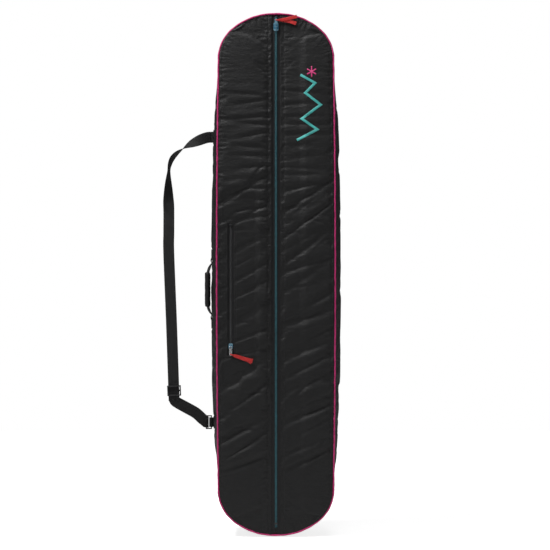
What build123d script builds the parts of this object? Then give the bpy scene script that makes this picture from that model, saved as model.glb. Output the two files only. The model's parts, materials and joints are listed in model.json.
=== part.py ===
"""Padded snowboard bag with a full-length front zip, a front pocket, a side handle and a strap.

Axes: +X is the bag's right seen from the front, -Y points to the front, +Z runs up its length.
The origin is the middle of the flat outer face of the back panel. All lengths are in mm.
A height is a distance from that back face towards the front, so height h lies at y = -h.
"""

import os

from build123d import *

os.makedirs("parts", exist_ok=True)

LEFT = -1
RIGHT = 1
TOP = 1
BOTTOM = -1
UPWARD = ((0, 1), (0, 1))
DOWNWARD = ((0, -1), (0, -1))

# Bag body
BAG_LENGTH = 1500
PIPING_RADIUS = 2
MID_HALF_WIDTH = 170
SHOULDER_HALF_WIDTH = 165
SHOULDER_Z = 621
END_RISE = BAG_LENGTH / 2 - PIPING_RADIUS - SHOULDER_Z
SIDE_SWELL = 14.5
LEAST_SWELL = 0.5
WALL_STATIONS = (-621, -530, -430, -280, -119, 35, 220, 400, 520, 621)

# Layers, as heights above the back face
BACK_CLOTH_TOP = 2
BACK_FOAM_TOP = 8
BACK_LINING_TOP = 9
WALL_BACK = 2
WALL_FRONT = 117.7
WALL_MIDDLE = (WALL_BACK + WALL_FRONT) / 2
FLANGE_TOP = 118.5
FRONT_FACE = 120.5
PIPING_STEPS = ((1.2, 118.5, 119.2), (2, 119.2, 121.2), (1.2, 121.2, 121.9))

# Wall layers, as depths in from the seam line
WALL_CLOTH = 2
WALL_FOAM = 7
WALL_LINING = 8
BACK_LAYER_INSET = 10
FLANGE_WIDTH = 8
FRONT_INSET = 2.2

# Opening front
FOLD_X = 152
FOLD_GAP = 0.4
FLAP_Z = 600
ZIP_SLOT = 12
LINING_BACK = 110.5
LINING_CLOTH = 1
LINING_INNER_X = 23

# Zip chains
CHAIN_GAP = 1.1
TAPE_THICKNESS = 1.2
MAIN_TAPE_EDGE = 20
MAIN_COIL_EDGE = 3.2
MAIN_COIL_TOP = 121.3
MAIN_TAPE_END = 739
MAIN_COIL_BOTTOM_END = 725
CHAIN_BRIDGE = 4
MAIN_SLIDER_Z = 710
MAIN_TRAVEL = 1408
STOP_LENGTH = 5
STOP_EDGE = 4.6
STOP_HEIGHT = 1.1

POCKET_X = -130
POCKET_TOP = 146
POCKET_BOTTOM = -232
POCKET_SLOT = 8
POCKET_TAPE_EDGE = 17
POCKET_COIL_EDGE = 3.4
POCKET_COIL_BACK = 115.6
POCKET_SLIDER_Z = -206
POCKET_BAG_LEFT = -149
POCKET_BAG_RIGHT = -30
POCKET_BAG_BACK = 112

# Sliders and their tabs
SLIDER_LENGTH = 24
SLIDER_WIDTH = 14
POCKET_SLIDER_LENGTH = 17
POCKET_SLIDER_WIDTH = 12
PLATE = 2
DIVIDER_HALF = 0.9
DIVIDER_LENGTH = 8
CROWN_WIDTH = 2
CROWN_WALL = 2.3
TAB_THICKNESS = 1.6
CROWN_INSET = 4.5
TAB_WIDTH = 8.4
TAB_BAR_RADIUS = 1
MAIN_TAB_HEIGHT = 125.1
MAIN_TAB_REACH = 19
POCKET_TAB_HEIGHT = 123.1
POCKET_TAB_REACH = 23
EYE_RADIUS = 2
RIBBON_PIN = 1.3
RIBBON_NECK = 1.8
RIBBON_LAYER = 1.2
RIBBON_THICKNESS = 2

# Webbing
WEB_WIDTH = 32
WEB_THICKNESS = 1.8
HANDLE_AXIS_X = -191
HANDLE_HEIGHT = 60
HANDLE_TOP = 35
HANDLE_BOTTOM = -119
HANDLE_GRIP_X = -199
HANDLE_WEB_WIDTH = 10
HANDLE_WEB_THICKNESS = 3
STRAP_AXIS_X = -188
STRAP_AXIS_HEIGHT = 57.5
STRAP_TOP_Z = 400
STRAP_RING_Z = -430
STRAP_LAYER = 3.3
RING_BAR = 3
RING_SPAN = 15
RING_OPENING = 34


def front_plane(height):
    """Sketch plane facing the front, at a height above the back face."""
    return Plane.XZ.offset(height)


def half_width(z):
    """Half width of the bag at the seam line."""
    return MID_HALF_WIDTH - (MID_HALF_WIDTH - SHOULDER_HALF_WIDTH) * (z / SHOULDER_Z) ** 2


def swell(z):
    """How far a side wall swells out beyond the seam line at mid depth."""
    return SIDE_SWELL * (1 - abs(z / SHOULDER_Z) ** 3) + LEAST_SWELL


def side_x(z):
    """Half width over the swollen side walls."""
    return half_width(z) + swell(z)


def outline(inset):
    """Face of the bag outline, inset from the seam line."""
    reach = SHOULDER_HALF_WIDTH - inset
    middle = MID_HALF_WIDTH - inset
    rise = END_RISE - inset
    with BuildSketch() as shape:
        with BuildLine():
            Spline((reach, -SHOULDER_Z), (middle, 0), (reach, SHOULDER_Z), tangents=UPWARD)
            EllipticalCenterArc((0, SHOULDER_Z), reach, rise, start_angle=0, arc_size=180)
            Spline((-reach, SHOULDER_Z), (-middle, 0), (-reach, -SHOULDER_Z), tangents=DOWNWARD)
            EllipticalCenterArc((0, -SHOULDER_Z), reach, rise, start_angle=180, arc_size=180)
        make_face()
    return shape.sketch


def flat_layer(inset, low, high):
    """Flat layer over the whole bag outline between two heights."""
    with BuildPart() as shape:
        with BuildSketch(front_plane(low)):
            add(outline(inset))
        extrude(amount=high - low)
    return shape.part


def side_wall(side, near, far):
    """Swollen side wall layer between two depths in from its outer face."""
    with BuildPart() as shape:
        for z in WALL_STATIONS:
            edge = half_width(z)
            crown = side_x(z)
            outer_back = (side * (edge - near), -WALL_BACK)
            outer_front = (side * (edge - near), -WALL_FRONT)
            inner_back = (side * (edge - far), -WALL_BACK)
            inner_front = (side * (edge - far), -WALL_FRONT)
            with BuildSketch(Plane.XY.offset(z)):
                with BuildLine():
                    ThreePointArc(outer_back, (side * (crown - near), -WALL_MIDDLE), outer_front)
                    Line(outer_front, inner_front)
                    ThreePointArc(inner_front, (side * (crown - far), -WALL_MIDDLE), inner_back)
                    Line(inner_back, outer_back)
                make_face()
        loft()
    return shape.part


def end_wall(end, near, far):
    """Half-oval end wall layer between two depths in from the seam line."""
    with BuildPart() as shape:
        with BuildSketch(front_plane(WALL_BACK)):
            with Locations((0, end * SHOULDER_Z)):
                Ellipse(SHOULDER_HALF_WIDTH - near, END_RISE - near)
                Ellipse(SHOULDER_HALF_WIDTH - far, END_RISE - far, mode=Mode.SUBTRACT)
            with Locations((0, end * (SHOULDER_Z - END_RISE))):
                Rectangle(2 * BAG_LENGTH, 2 * END_RISE, mode=Mode.SUBTRACT)
        extrude(amount=WALL_FRONT - WALL_BACK)
    return shape.part


def block(x_low, x_high, z_low, z_high, low, high):
    """Block between two x, two z and two heights."""
    with BuildPart() as shape:
        with BuildSketch(front_plane(low)):
            with Locations(((x_low + x_high) / 2, (z_low + z_high) / 2)):
                Rectangle(x_high - x_low, z_high - z_low)
        extrude(amount=high - low)
    return shape.part


def side_block(side, x_near, x_far, z_low, z_high, low, high):
    """Block on one side of the middle plane, given by its distances from that plane."""
    ends = (side * x_near, side * x_far)
    return block(min(ends), max(ends), z_low, z_high, low, high)


def front_frame(side):
    """The part of one front half that stays down: both ends and the border along the seam."""
    with BuildPart() as shape:
        with BuildSketch(front_plane(FLANGE_TOP)):
            add(outline(FRONT_INSET))
            with Locations((-side * (MID_HALF_WIDTH - ZIP_SLOT), 0)):
                Rectangle(2 * MID_HALF_WIDTH, BAG_LENGTH, mode=Mode.SUBTRACT)
            with Locations((side * FOLD_X / 2, 0)):
                Rectangle(FOLD_X, 2 * (FLAP_Z + FOLD_GAP), mode=Mode.SUBTRACT)
        extrude(amount=FRONT_FACE - FLANGE_TOP)
    return shape.part


def lining_tray(side):
    """Lining of one opening half: a back sheet with turned-up edges sewn to the cloth."""
    near = LINING_INNER_X
    far = FOLD_X - FOLD_GAP
    end = FLAP_Z - LINING_CLOTH
    cloth = LINING_CLOTH
    with BuildPart() as shape:
        add(side_block(side, near, far, -end, end, LINING_BACK, FLANGE_TOP))
        hollow = side_block(
            side, near + cloth, far - cloth, cloth - end, end - cloth, LINING_BACK + cloth, FLANGE_TOP
        )
        add(hollow, mode=Mode.SUBTRACT)
    return shape.part


def chain_end(edge, start, end, low, high):
    """Both halves of a chain layer beyond the opening flaps, joined at the far end."""
    direction = TOP if end > start else BOTTOM
    slot_end = end - direction * CHAIN_BRIDGE
    with BuildPart() as shape:
        add(block(-edge, edge, min(start, end), max(start, end), low, high))
        slot = block(-CHAIN_GAP, CHAIN_GAP, min(start, slot_end), max(start, slot_end), low, high)
        add(slot, mode=Mode.SUBTRACT)
    return shape.part


def chain_stop(centre_z):
    """Metal stop clamped over both halves of the main coil."""
    low_z = centre_z - STOP_LENGTH / 2
    high_z = centre_z + STOP_LENGTH / 2
    inner = MAIN_COIL_EDGE
    with BuildPart() as shape:
        add(block(-STOP_EDGE, STOP_EDGE, low_z, high_z, FLANGE_TOP, MAIN_COIL_TOP + STOP_HEIGHT))
        add(block(-inner, inner, low_z, high_z, FLANGE_TOP, MAIN_COIL_TOP), mode=Mode.SUBTRACT)
    return shape.part


def slider_body(x, z, width, length, plate_low, back_plate_low, tab_height, lip_low):
    """Zip slider: front plate with side lips, back plate, divider and the crown for the tab."""
    plate_top = plate_low + PLATE
    back_plate_top = back_plate_low + PLATE
    crown_half = length / 2 - CROWN_INSET
    crown_top = tab_height + TAB_BAR_RADIUS + 2
    window_half = crown_half - CROWN_WALL
    window_top = tab_height + TAB_BAR_RADIUS + 0.5
    low_x = x - CROWN_WIDTH / 2
    high_x = x + CROWN_WIDTH / 2
    with BuildPart() as shape:
        with BuildSketch(front_plane(plate_low)):
            with Locations((x, z)):
                RectangleRounded(width, length, 4)
        extrude(amount=PLATE)
        with BuildSketch(front_plane(lip_low)):
            with Locations((x - width / 2 + 0.7, z), (x + width / 2 - 0.7, z)):
                Rectangle(1.4, length - 9)
        extrude(amount=plate_low - lip_low)
        with BuildSketch(front_plane(back_plate_low)):
            with Locations((x, z)):
                RectangleRounded(width - 2, length - 2, 4)
        extrude(amount=PLATE)
        with BuildSketch(front_plane(back_plate_top)):
            with Locations((x, z)):
                Rectangle(2 * DIVIDER_HALF, DIVIDER_LENGTH)
        extrude(amount=plate_low - back_plate_top)
        add(block(low_x, high_x, z - crown_half, z + crown_half, plate_top, crown_top))
        window = block(low_x, high_x, z - window_half, z + window_half, plate_top, window_top)
        add(window, mode=Mode.SUBTRACT)
    return shape.part


def pull_tab(x, z, direction, reach, height, crown_half):
    """Flat metal tab with a cross bar under the crown, a slot around it and an eye at its end."""
    eye_z = z + direction * reach
    slot_near = z + direction * TAB_BAR_RADIUS
    slot_far = z + direction * (crown_half + 1)
    with BuildPart() as shape:
        with BuildSketch(front_plane(height - TAB_THICKNESS / 2)):
            with Locations((x, (z + eye_z) / 2)):
                Rectangle(TAB_WIDTH, reach)
            with Locations((x, eye_z)):
                Circle(TAB_WIDTH / 2)
            with Locations((x, (slot_near + slot_far) / 2)):
                Rectangle(2 * CROWN_WIDTH, abs(slot_far - slot_near), mode=Mode.SUBTRACT)
            with Locations((x, eye_z)):
                Circle(EYE_RADIUS, mode=Mode.SUBTRACT)
        extrude(amount=TAB_THICKNESS)
        with BuildSketch(Plane.YZ.offset(x - TAB_WIDTH / 2)):
            with Locations((-height, z)):
                Circle(TAB_BAR_RADIUS)
        extrude(amount=TAB_WIDTH)
    return shape.part


def ribbon_pull(height, ribbon_outline):
    """Ribbon pull about its own pin: a layer over and under the tab, then the doubled ribbon."""
    gap = TAB_THICKNESS / 2 + 0.2
    low = height - gap - RIBBON_LAYER
    high = height + gap
    with BuildPart() as shape:
        with BuildSketch(front_plane(low)):
            Circle(RIBBON_PIN)
        extrude(amount=2 * (gap + RIBBON_LAYER))
        add(block(0, 8, -RIBBON_NECK, RIBBON_NECK, low, low + RIBBON_LAYER))
        add(block(0, 8, -RIBBON_NECK, RIBBON_NECK, high, high + RIBBON_LAYER))
        with BuildSketch(front_plane(height - RIBBON_THICKNESS / 2)):
            Polygon(*ribbon_outline, align=None)
        extrude(amount=RIBBON_THICKNESS)
    return shape.part


# Bag body -------------------------------------------------------------------------------------

with BuildPart() as back_panel:
    add(flat_layer(0, 0, BACK_CLOTH_TOP))
back_panel.part.label = "back_panel"
export_step(back_panel.part, "parts/back_panel.step")

with BuildPart() as back_padding:
    add(flat_layer(BACK_LAYER_INSET, BACK_CLOTH_TOP, BACK_FOAM_TOP))
back_padding.part.label = "back_padding"
export_step(back_padding.part, "parts/back_padding.step")

with BuildPart() as back_lining:
    add(flat_layer(BACK_LAYER_INSET, BACK_FOAM_TOP, BACK_LINING_TOP))
back_lining.part.label = "back_lining"
export_step(back_lining.part, "parts/back_lining.step")

with BuildPart() as side_gusset_left:
    add(side_wall(LEFT, 0, WALL_CLOTH))
side_gusset_left.part.label = "side_gusset_left"
export_step(side_gusset_left.part, "parts/side_gusset_left.step")

with BuildPart() as side_gusset_right:
    add(side_wall(RIGHT, 0, WALL_CLOTH))
side_gusset_right.part.label = "side_gusset_right"
export_step(side_gusset_right.part, "parts/side_gusset_right.step")

with BuildPart() as side_padding_left:
    add(side_wall(LEFT, WALL_CLOTH, WALL_FOAM))
side_padding_left.part.label = "side_padding_left"
export_step(side_padding_left.part, "parts/side_padding_left.step")

with BuildPart() as side_padding_right:
    add(side_wall(RIGHT, WALL_CLOTH, WALL_FOAM))
side_padding_right.part.label = "side_padding_right"
export_step(side_padding_right.part, "parts/side_padding_right.step")

with BuildPart() as side_lining_left:
    add(side_wall(LEFT, WALL_FOAM, WALL_LINING))
side_lining_left.part.label = "side_lining_left"
export_step(side_lining_left.part, "parts/side_lining_left.step")

with BuildPart() as side_lining_right:
    add(side_wall(RIGHT, WALL_FOAM, WALL_LINING))
side_lining_right.part.label = "side_lining_right"
export_step(side_lining_right.part, "parts/side_lining_right.step")

with BuildPart() as end_gusset_top:
    add(end_wall(TOP, 0, WALL_CLOTH))
end_gusset_top.part.label = "end_gusset_top"
export_step(end_gusset_top.part, "parts/end_gusset_top.step")

with BuildPart() as end_gusset_bottom:
    add(end_wall(BOTTOM, 0, WALL_CLOTH))
end_gusset_bottom.part.label = "end_gusset_bottom"
export_step(end_gusset_bottom.part, "parts/end_gusset_bottom.step")

with BuildPart() as end_padding_top:
    add(end_wall(TOP, WALL_CLOTH, WALL_FOAM))
end_padding_top.part.label = "end_padding_top"
export_step(end_padding_top.part, "parts/end_padding_top.step")

with BuildPart() as end_padding_bottom:
    add(end_wall(BOTTOM, WALL_CLOTH, WALL_FOAM))
end_padding_bottom.part.label = "end_padding_bottom"
export_step(end_padding_bottom.part, "parts/end_padding_bottom.step")

with BuildPart() as end_lining_top:
    add(end_wall(TOP, WALL_FOAM, WALL_LINING))
end_lining_top.part.label = "end_lining_top"
export_step(end_lining_top.part, "parts/end_lining_top.step")

with BuildPart() as end_lining_bottom:
    add(end_wall(BOTTOM, WALL_FOAM, WALL_LINING))
end_lining_bottom.part.label = "end_lining_bottom"
export_step(end_lining_bottom.part, "parts/end_lining_bottom.step")

with BuildPart() as front_piping:
    for half, low, high in PIPING_STEPS:
        with BuildSketch(front_plane(low)):
            add(outline(-half))
            add(outline(half), mode=Mode.SUBTRACT)
        extrude(amount=high - low)
    with BuildSketch(front_plane(WALL_FRONT)):
        add(outline(0))
        add(outline(FLANGE_WIDTH), mode=Mode.SUBTRACT)
    extrude(amount=FLANGE_TOP - WALL_FRONT)
front_piping.part.label = "front_piping"
export_step(front_piping.part, "parts/front_piping.step")

# Front halves ---------------------------------------------------------------------------------

with BuildPart() as front_frame_left:
    add(front_frame(LEFT))
front_frame_left.part.label = "front_frame_left"
export_step(front_frame_left.part, "parts/front_frame_left.step")

with BuildPart() as front_frame_right:
    add(front_frame(RIGHT))
front_frame_right.part.label = "front_frame_right"
export_step(front_frame_right.part, "parts/front_frame_right.step")

with BuildPart() as front_flap_left:
    add(side_block(LEFT, ZIP_SLOT, FOLD_X - FOLD_GAP, -FLAP_Z, FLAP_Z, FLANGE_TOP, FRONT_FACE))
    pocket_mouth = (POCKET_X - POCKET_SLOT, POCKET_X + POCKET_SLOT, POCKET_BOTTOM, POCKET_TOP)
    add(block(*pocket_mouth, FLANGE_TOP, FRONT_FACE), mode=Mode.SUBTRACT)
front_flap_left.part.label = "front_flap_left"
export_step(front_flap_left.part, "parts/front_flap_left.step")

with BuildPart() as front_flap_right:
    add(side_block(RIGHT, ZIP_SLOT, FOLD_X - FOLD_GAP, -FLAP_Z, FLAP_Z, FLANGE_TOP, FRONT_FACE))
front_flap_right.part.label = "front_flap_right"
export_step(front_flap_right.part, "parts/front_flap_right.step")

with BuildPart() as flap_lining_left:
    add(lining_tray(LEFT))
flap_lining_left.part.label = "flap_lining_left"
export_step(flap_lining_left.part, "parts/flap_lining_left.step")

with BuildPart() as flap_lining_right:
    add(lining_tray(RIGHT))
flap_lining_right.part.label = "flap_lining_right"
export_step(flap_lining_right.part, "parts/flap_lining_right.step")

# Printed motif: a mountain ridge running up the bag with a snow crystal above it
RIDGE_POINTS = [(60, 385), (118, 415), (74, 446), (128, 486), (84, 520), (112, 548), (70, 572)]
RIDGE_WIDTH = 7
PRINT_THICKNESS = 0.3
CRYSTAL_X = 102
CRYSTAL_Z = 596
CRYSTAL_SPAN = 30
CRYSTAL_BAR = 3.6

with BuildPart() as motif_ridge:
    with BuildSketch(front_plane(FRONT_FACE)):
        with BuildLine() as ridge_line:
            Polyline(*RIDGE_POINTS)
        trace(ridge_line.line, line_width=RIDGE_WIDTH)
    extrude(amount=PRINT_THICKNESS)
motif_ridge.part.label = "motif_ridge"
export_step(motif_ridge.part, "parts/motif_ridge.step")

with BuildPart() as motif_crystal:
    with BuildSketch(front_plane(FRONT_FACE)):
        with Locations((CRYSTAL_X, CRYSTAL_Z - CRYSTAL_SPAN / 2)):
            for turn in (0, 60, 120):
                Rectangle(CRYSTAL_SPAN, CRYSTAL_BAR, rotation=turn)
    extrude(amount=PRINT_THICKNESS)
motif_crystal.part.label = "motif_crystal"
export_step(motif_crystal.part, "parts/motif_crystal.step")

# Main zip -------------------------------------------------------------------------------------

TAPE_BACK = FLANGE_TOP - TAPE_THICKNESS

with BuildPart() as main_tape_left:
    add(side_block(LEFT, CHAIN_GAP, MAIN_TAPE_EDGE, -FLAP_Z, FLAP_Z, TAPE_BACK, FLANGE_TOP))
main_tape_left.part.label = "main_tape_left"
export_step(main_tape_left.part, "parts/main_tape_left.step")

with BuildPart() as main_tape_right:
    add(side_block(RIGHT, CHAIN_GAP, MAIN_TAPE_EDGE, -FLAP_Z, FLAP_Z, TAPE_BACK, FLANGE_TOP))
main_tape_right.part.label = "main_tape_right"
export_step(main_tape_right.part, "parts/main_tape_right.step")

with BuildPart() as main_tape_top:
    add(chain_end(MAIN_TAPE_EDGE, FLAP_Z + FOLD_GAP, MAIN_TAPE_END, TAPE_BACK, FLANGE_TOP))
main_tape_top.part.label = "main_tape_top"
export_step(main_tape_top.part, "parts/main_tape_top.step")

with BuildPart() as main_tape_bottom:
    add(chain_end(MAIN_TAPE_EDGE, -FLAP_Z - FOLD_GAP, -MAIN_TAPE_END, TAPE_BACK, FLANGE_TOP))
main_tape_bottom.part.label = "main_tape_bottom"
export_step(main_tape_bottom.part, "parts/main_tape_bottom.step")

with BuildPart() as main_coil_left:
    add(side_block(LEFT, CHAIN_GAP, MAIN_COIL_EDGE, -FLAP_Z, FLAP_Z, FLANGE_TOP, MAIN_COIL_TOP))
main_coil_left.part.label = "main_coil_left"
export_step(main_coil_left.part, "parts/main_coil_left.step")

with BuildPart() as main_coil_right:
    add(side_block(RIGHT, CHAIN_GAP, MAIN_COIL_EDGE, -FLAP_Z, FLAP_Z, FLANGE_TOP, MAIN_COIL_TOP))
main_coil_right.part.label = "main_coil_right"
export_step(main_coil_right.part, "parts/main_coil_right.step")

with BuildPart() as main_coil_top:
    add(chain_end(MAIN_COIL_EDGE, FLAP_Z + FOLD_GAP, MAIN_TAPE_END, FLANGE_TOP, MAIN_COIL_TOP))
main_coil_top.part.label = "main_coil_top"
export_step(main_coil_top.part, "parts/main_coil_top.step")

with BuildPart() as main_coil_bottom:
    add(chain_end(MAIN_COIL_EDGE, -FLAP_Z - FOLD_GAP, -MAIN_COIL_BOTTOM_END, FLANGE_TOP, MAIN_COIL_TOP))
main_coil_bottom.part.label = "main_coil_bottom"
export_step(main_coil_bottom.part, "parts/main_coil_bottom.step")

STOP_CLEARANCE = 1.5
SLIDER_TO_STOP = SLIDER_LENGTH / 2 + STOP_CLEARANCE + STOP_LENGTH / 2

with BuildPart() as main_stop_top:
    add(chain_stop(MAIN_SLIDER_Z + SLIDER_TO_STOP))
main_stop_top.part.label = "main_stop_top"
export_step(main_stop_top.part, "parts/main_stop_top.step")

with BuildPart() as main_stop_bottom:
    add(chain_stop(MAIN_SLIDER_Z - MAIN_TRAVEL - SLIDER_TO_STOP))
main_stop_bottom.part.label = "main_stop_bottom"
export_step(main_stop_bottom.part, "parts/main_stop_bottom.step")

MAIN_PLATE_LOW = MAIN_COIL_TOP + 0.3
MAIN_BACK_PLATE_LOW = TAPE_BACK - 0.7 - PLATE
LIP_LOW = FLANGE_TOP + 0.5
MAIN_SLIDER_SIZE = (SLIDER_WIDTH, SLIDER_LENGTH)
MAIN_SLIDER_HEIGHTS = (MAIN_PLATE_LOW, MAIN_BACK_PLATE_LOW, MAIN_TAB_HEIGHT, LIP_LOW)
MAIN_CROWN_HALF = SLIDER_LENGTH / 2 - CROWN_INSET

with BuildPart() as main_slider:
    add(slider_body(0, MAIN_SLIDER_Z, *MAIN_SLIDER_SIZE, *MAIN_SLIDER_HEIGHTS))
main_slider.part.label = "main_slider"
export_step(main_slider.part, "parts/main_slider.step")

with BuildPart() as main_tab:
    add(pull_tab(0, MAIN_SLIDER_Z, TOP, MAIN_TAB_REACH, MAIN_TAB_HEIGHT, MAIN_CROWN_HALF))
main_tab.part.label = "main_tab"
export_step(main_tab.part, "parts/main_tab.step")

# Ribbon pull of the main zip: a doubled ribbon whose two cut ends spread apart
MAIN_RIBBON_OUTLINE = [
    (5.6, RIBBON_NECK),
    (14, 5.5),
    (30, 7),
    (60, 14.5),
    (58, 4.5),
    (36, 0),
    (58, -4.5),
    (60, -14.5),
    (30, -7),
    (14, -5.5),
    (5.6, -RIBBON_NECK),
]

with BuildPart() as main_pull:
    with Locations((0, 0, MAIN_SLIDER_Z + MAIN_TAB_REACH)):
        add(ribbon_pull(MAIN_TAB_HEIGHT, MAIN_RIBBON_OUTLINE))
main_pull.part.label = "main_pull"
export_step(main_pull.part, "parts/main_pull.step")

# Front pocket ---------------------------------------------------------------------------------

POCKET_TAPE_OVERRUN = 8
POCKET_COIL_OVERRUN = 4
POCKET_BAG_OVERRUN = 16
POCKET_STOP_LENGTH = 4


def pocket_chain(side, edge, overrun, low, high):
    """One half of a pocket chain layer."""
    ends = (POCKET_X + side * CHAIN_GAP, POCKET_X + side * edge)
    return block(min(ends), max(ends), POCKET_BOTTOM - overrun, POCKET_TOP + overrun, low, high)


def pocket_stop(low_z):
    """Metal stop across the pocket chain."""
    high_z = low_z + POCKET_STOP_LENGTH
    return block(POCKET_X - STOP_EDGE, POCKET_X + STOP_EDGE, low_z, high_z, FLANGE_TOP, FRONT_FACE)


with BuildPart() as pocket_tape_left:
    add(pocket_chain(LEFT, POCKET_TAPE_EDGE, POCKET_TAPE_OVERRUN, TAPE_BACK, FLANGE_TOP))
pocket_tape_left.part.label = "pocket_tape_left"
export_step(pocket_tape_left.part, "parts/pocket_tape_left.step")

with BuildPart() as pocket_tape_right:
    add(pocket_chain(RIGHT, POCKET_TAPE_EDGE, POCKET_TAPE_OVERRUN, TAPE_BACK, FLANGE_TOP))
pocket_tape_right.part.label = "pocket_tape_right"
export_step(pocket_tape_right.part, "parts/pocket_tape_right.step")

with BuildPart() as pocket_coil_left:
    add(pocket_chain(LEFT, POCKET_COIL_EDGE, POCKET_COIL_OVERRUN, POCKET_COIL_BACK, TAPE_BACK))
pocket_coil_left.part.label = "pocket_coil_left"
export_step(pocket_coil_left.part, "parts/pocket_coil_left.step")

with BuildPart() as pocket_coil_right:
    add(pocket_chain(RIGHT, POCKET_COIL_EDGE, POCKET_COIL_OVERRUN, POCKET_COIL_BACK, TAPE_BACK))
pocket_coil_right.part.label = "pocket_coil_right"
export_step(pocket_coil_right.part, "parts/pocket_coil_right.step")

with BuildPart() as pocket_stop_upper:
    add(pocket_stop(POCKET_TOP - 1 - POCKET_STOP_LENGTH))
pocket_stop_upper.part.label = "pocket_stop_upper"
export_step(pocket_stop_upper.part, "parts/pocket_stop_upper.step")

with BuildPart() as pocket_stop_lower:
    add(pocket_stop(POCKET_BOTTOM + 1))
pocket_stop_lower.part.label = "pocket_stop_lower"
export_step(pocket_stop_lower.part, "parts/pocket_stop_lower.step")

with BuildPart() as pocket_bag:
    low_z = POCKET_BOTTOM - POCKET_BAG_OVERRUN
    high_z = POCKET_TOP + POCKET_BAG_OVERRUN
    cloth = LINING_CLOTH
    add(block(POCKET_BAG_LEFT, POCKET_BAG_RIGHT, low_z, high_z, POCKET_BAG_BACK, FLANGE_TOP))
    pocket_space = block(
        POCKET_BAG_LEFT + cloth,
        POCKET_BAG_RIGHT - cloth,
        low_z + cloth,
        high_z - cloth,
        POCKET_BAG_BACK + cloth,
        FLANGE_TOP,
    )
    add(pocket_space, mode=Mode.SUBTRACT)
pocket_bag.part.label = "pocket_bag"
export_step(pocket_bag.part, "parts/pocket_bag.step")

POCKET_PLATE_LOW = FLANGE_TOP + 0.4
POCKET_BACK_PLATE_LOW = POCKET_COIL_BACK - 0.4 - PLATE
POCKET_LIP_LOW = POCKET_PLATE_LOW - 0.2
POCKET_SLIDER_SIZE = (POCKET_SLIDER_WIDTH, POCKET_SLIDER_LENGTH)
POCKET_SLIDER_HEIGHTS = (POCKET_PLATE_LOW, POCKET_BACK_PLATE_LOW, POCKET_TAB_HEIGHT, POCKET_LIP_LOW)
POCKET_CROWN_HALF = POCKET_SLIDER_LENGTH / 2 - CROWN_INSET

with BuildPart() as pocket_slider:
    add(slider_body(POCKET_X, POCKET_SLIDER_Z, *POCKET_SLIDER_SIZE, *POCKET_SLIDER_HEIGHTS))
pocket_slider.part.label = "pocket_slider"
export_step(pocket_slider.part, "parts/pocket_slider.step")

POCKET_TAB_PLACE = (POCKET_X, POCKET_SLIDER_Z, BOTTOM)

with BuildPart() as pocket_tab:
    add(pull_tab(*POCKET_TAB_PLACE, POCKET_TAB_REACH, POCKET_TAB_HEIGHT, POCKET_CROWN_HALF))
pocket_tab.part.label = "pocket_tab"
export_step(pocket_tab.part, "parts/pocket_tab.step")

POCKET_RIBBON_OUTLINE = [
    (5.6, RIBBON_NECK),
    (12, 5),
    (50, 6),
    (66, 9),
    (66, -9),
    (50, -6),
    (12, -5),
    (5.6, -RIBBON_NECK),
]
POCKET_RIBBON_DROOP = 21
POCKET_EYE = (POCKET_X, 0, POCKET_SLIDER_Z - POCKET_TAB_REACH)

with BuildPart() as pocket_pull:
    with Locations(Location(POCKET_EYE, (0, POCKET_RIBBON_DROOP, 0))):
        add(ribbon_pull(POCKET_TAB_HEIGHT, POCKET_RIBBON_OUTLINE))
pocket_pull.part.label = "pocket_pull"
export_step(pocket_pull.part, "parts/pocket_pull.step")

# Carry handle on the left side ----------------------------------------------------------------

HANDLE_PATCH_LENGTH = 38
HANDLE_PATCH_WIDTH = 25
HANDLE_GRIP_TOP = 7
HANDLE_GRIP_BOTTOM = -94
HANDLE_GRIP_HALF_X = 8
HANDLE_GRIP_HALF_Y = 9
SEW_GAP = 0.15


def side_patch(z_low, z_high, width, height, surface_x):
    """Webbing end sewn flat on the left side wall."""
    inner_x = -surface_x - SEW_GAP
    half = width / 2
    return block(inner_x - WEB_THICKNESS, inner_x, z_low, z_high, height - half, height + half)


with BuildPart() as handle_anchor_upper:
    patch_low = HANDLE_TOP + 1
    patch_high = HANDLE_TOP + HANDLE_PATCH_LENGTH
    add(side_patch(patch_low, patch_high, HANDLE_PATCH_WIDTH, HANDLE_HEIGHT, side_x(0)))
handle_anchor_upper.part.label = "handle_anchor_upper"
export_step(handle_anchor_upper.part, "parts/handle_anchor_upper.step")

with BuildPart() as handle_anchor_lower:
    patch_low = HANDLE_BOTTOM - HANDLE_PATCH_LENGTH
    patch_high = HANDLE_BOTTOM - 1
    add(side_patch(patch_low, patch_high, HANDLE_PATCH_WIDTH, HANDLE_HEIGHT, side_x(HANDLE_BOTTOM)))
handle_anchor_lower.part.label = "handle_anchor_lower"
export_step(handle_anchor_lower.part, "parts/handle_anchor_lower.step")

with BuildPart() as handle_webbing:
    with BuildSketch(front_plane(HANDLE_HEIGHT - HANDLE_WEB_WIDTH / 2)):
        with BuildLine() as handle_line:
            Polyline(
                (HANDLE_AXIS_X, HANDLE_TOP - 1),
                (HANDLE_GRIP_X, HANDLE_GRIP_TOP + 4),
                (HANDLE_GRIP_X, HANDLE_GRIP_BOTTOM - 4),
                (HANDLE_AXIS_X, HANDLE_BOTTOM + 1),
            )
        trace(handle_line.line, line_width=HANDLE_WEB_THICKNESS)
    extrude(amount=HANDLE_WEB_WIDTH)
handle_webbing.part.label = "handle_webbing"
export_step(handle_webbing.part, "parts/handle_webbing.step")

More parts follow.
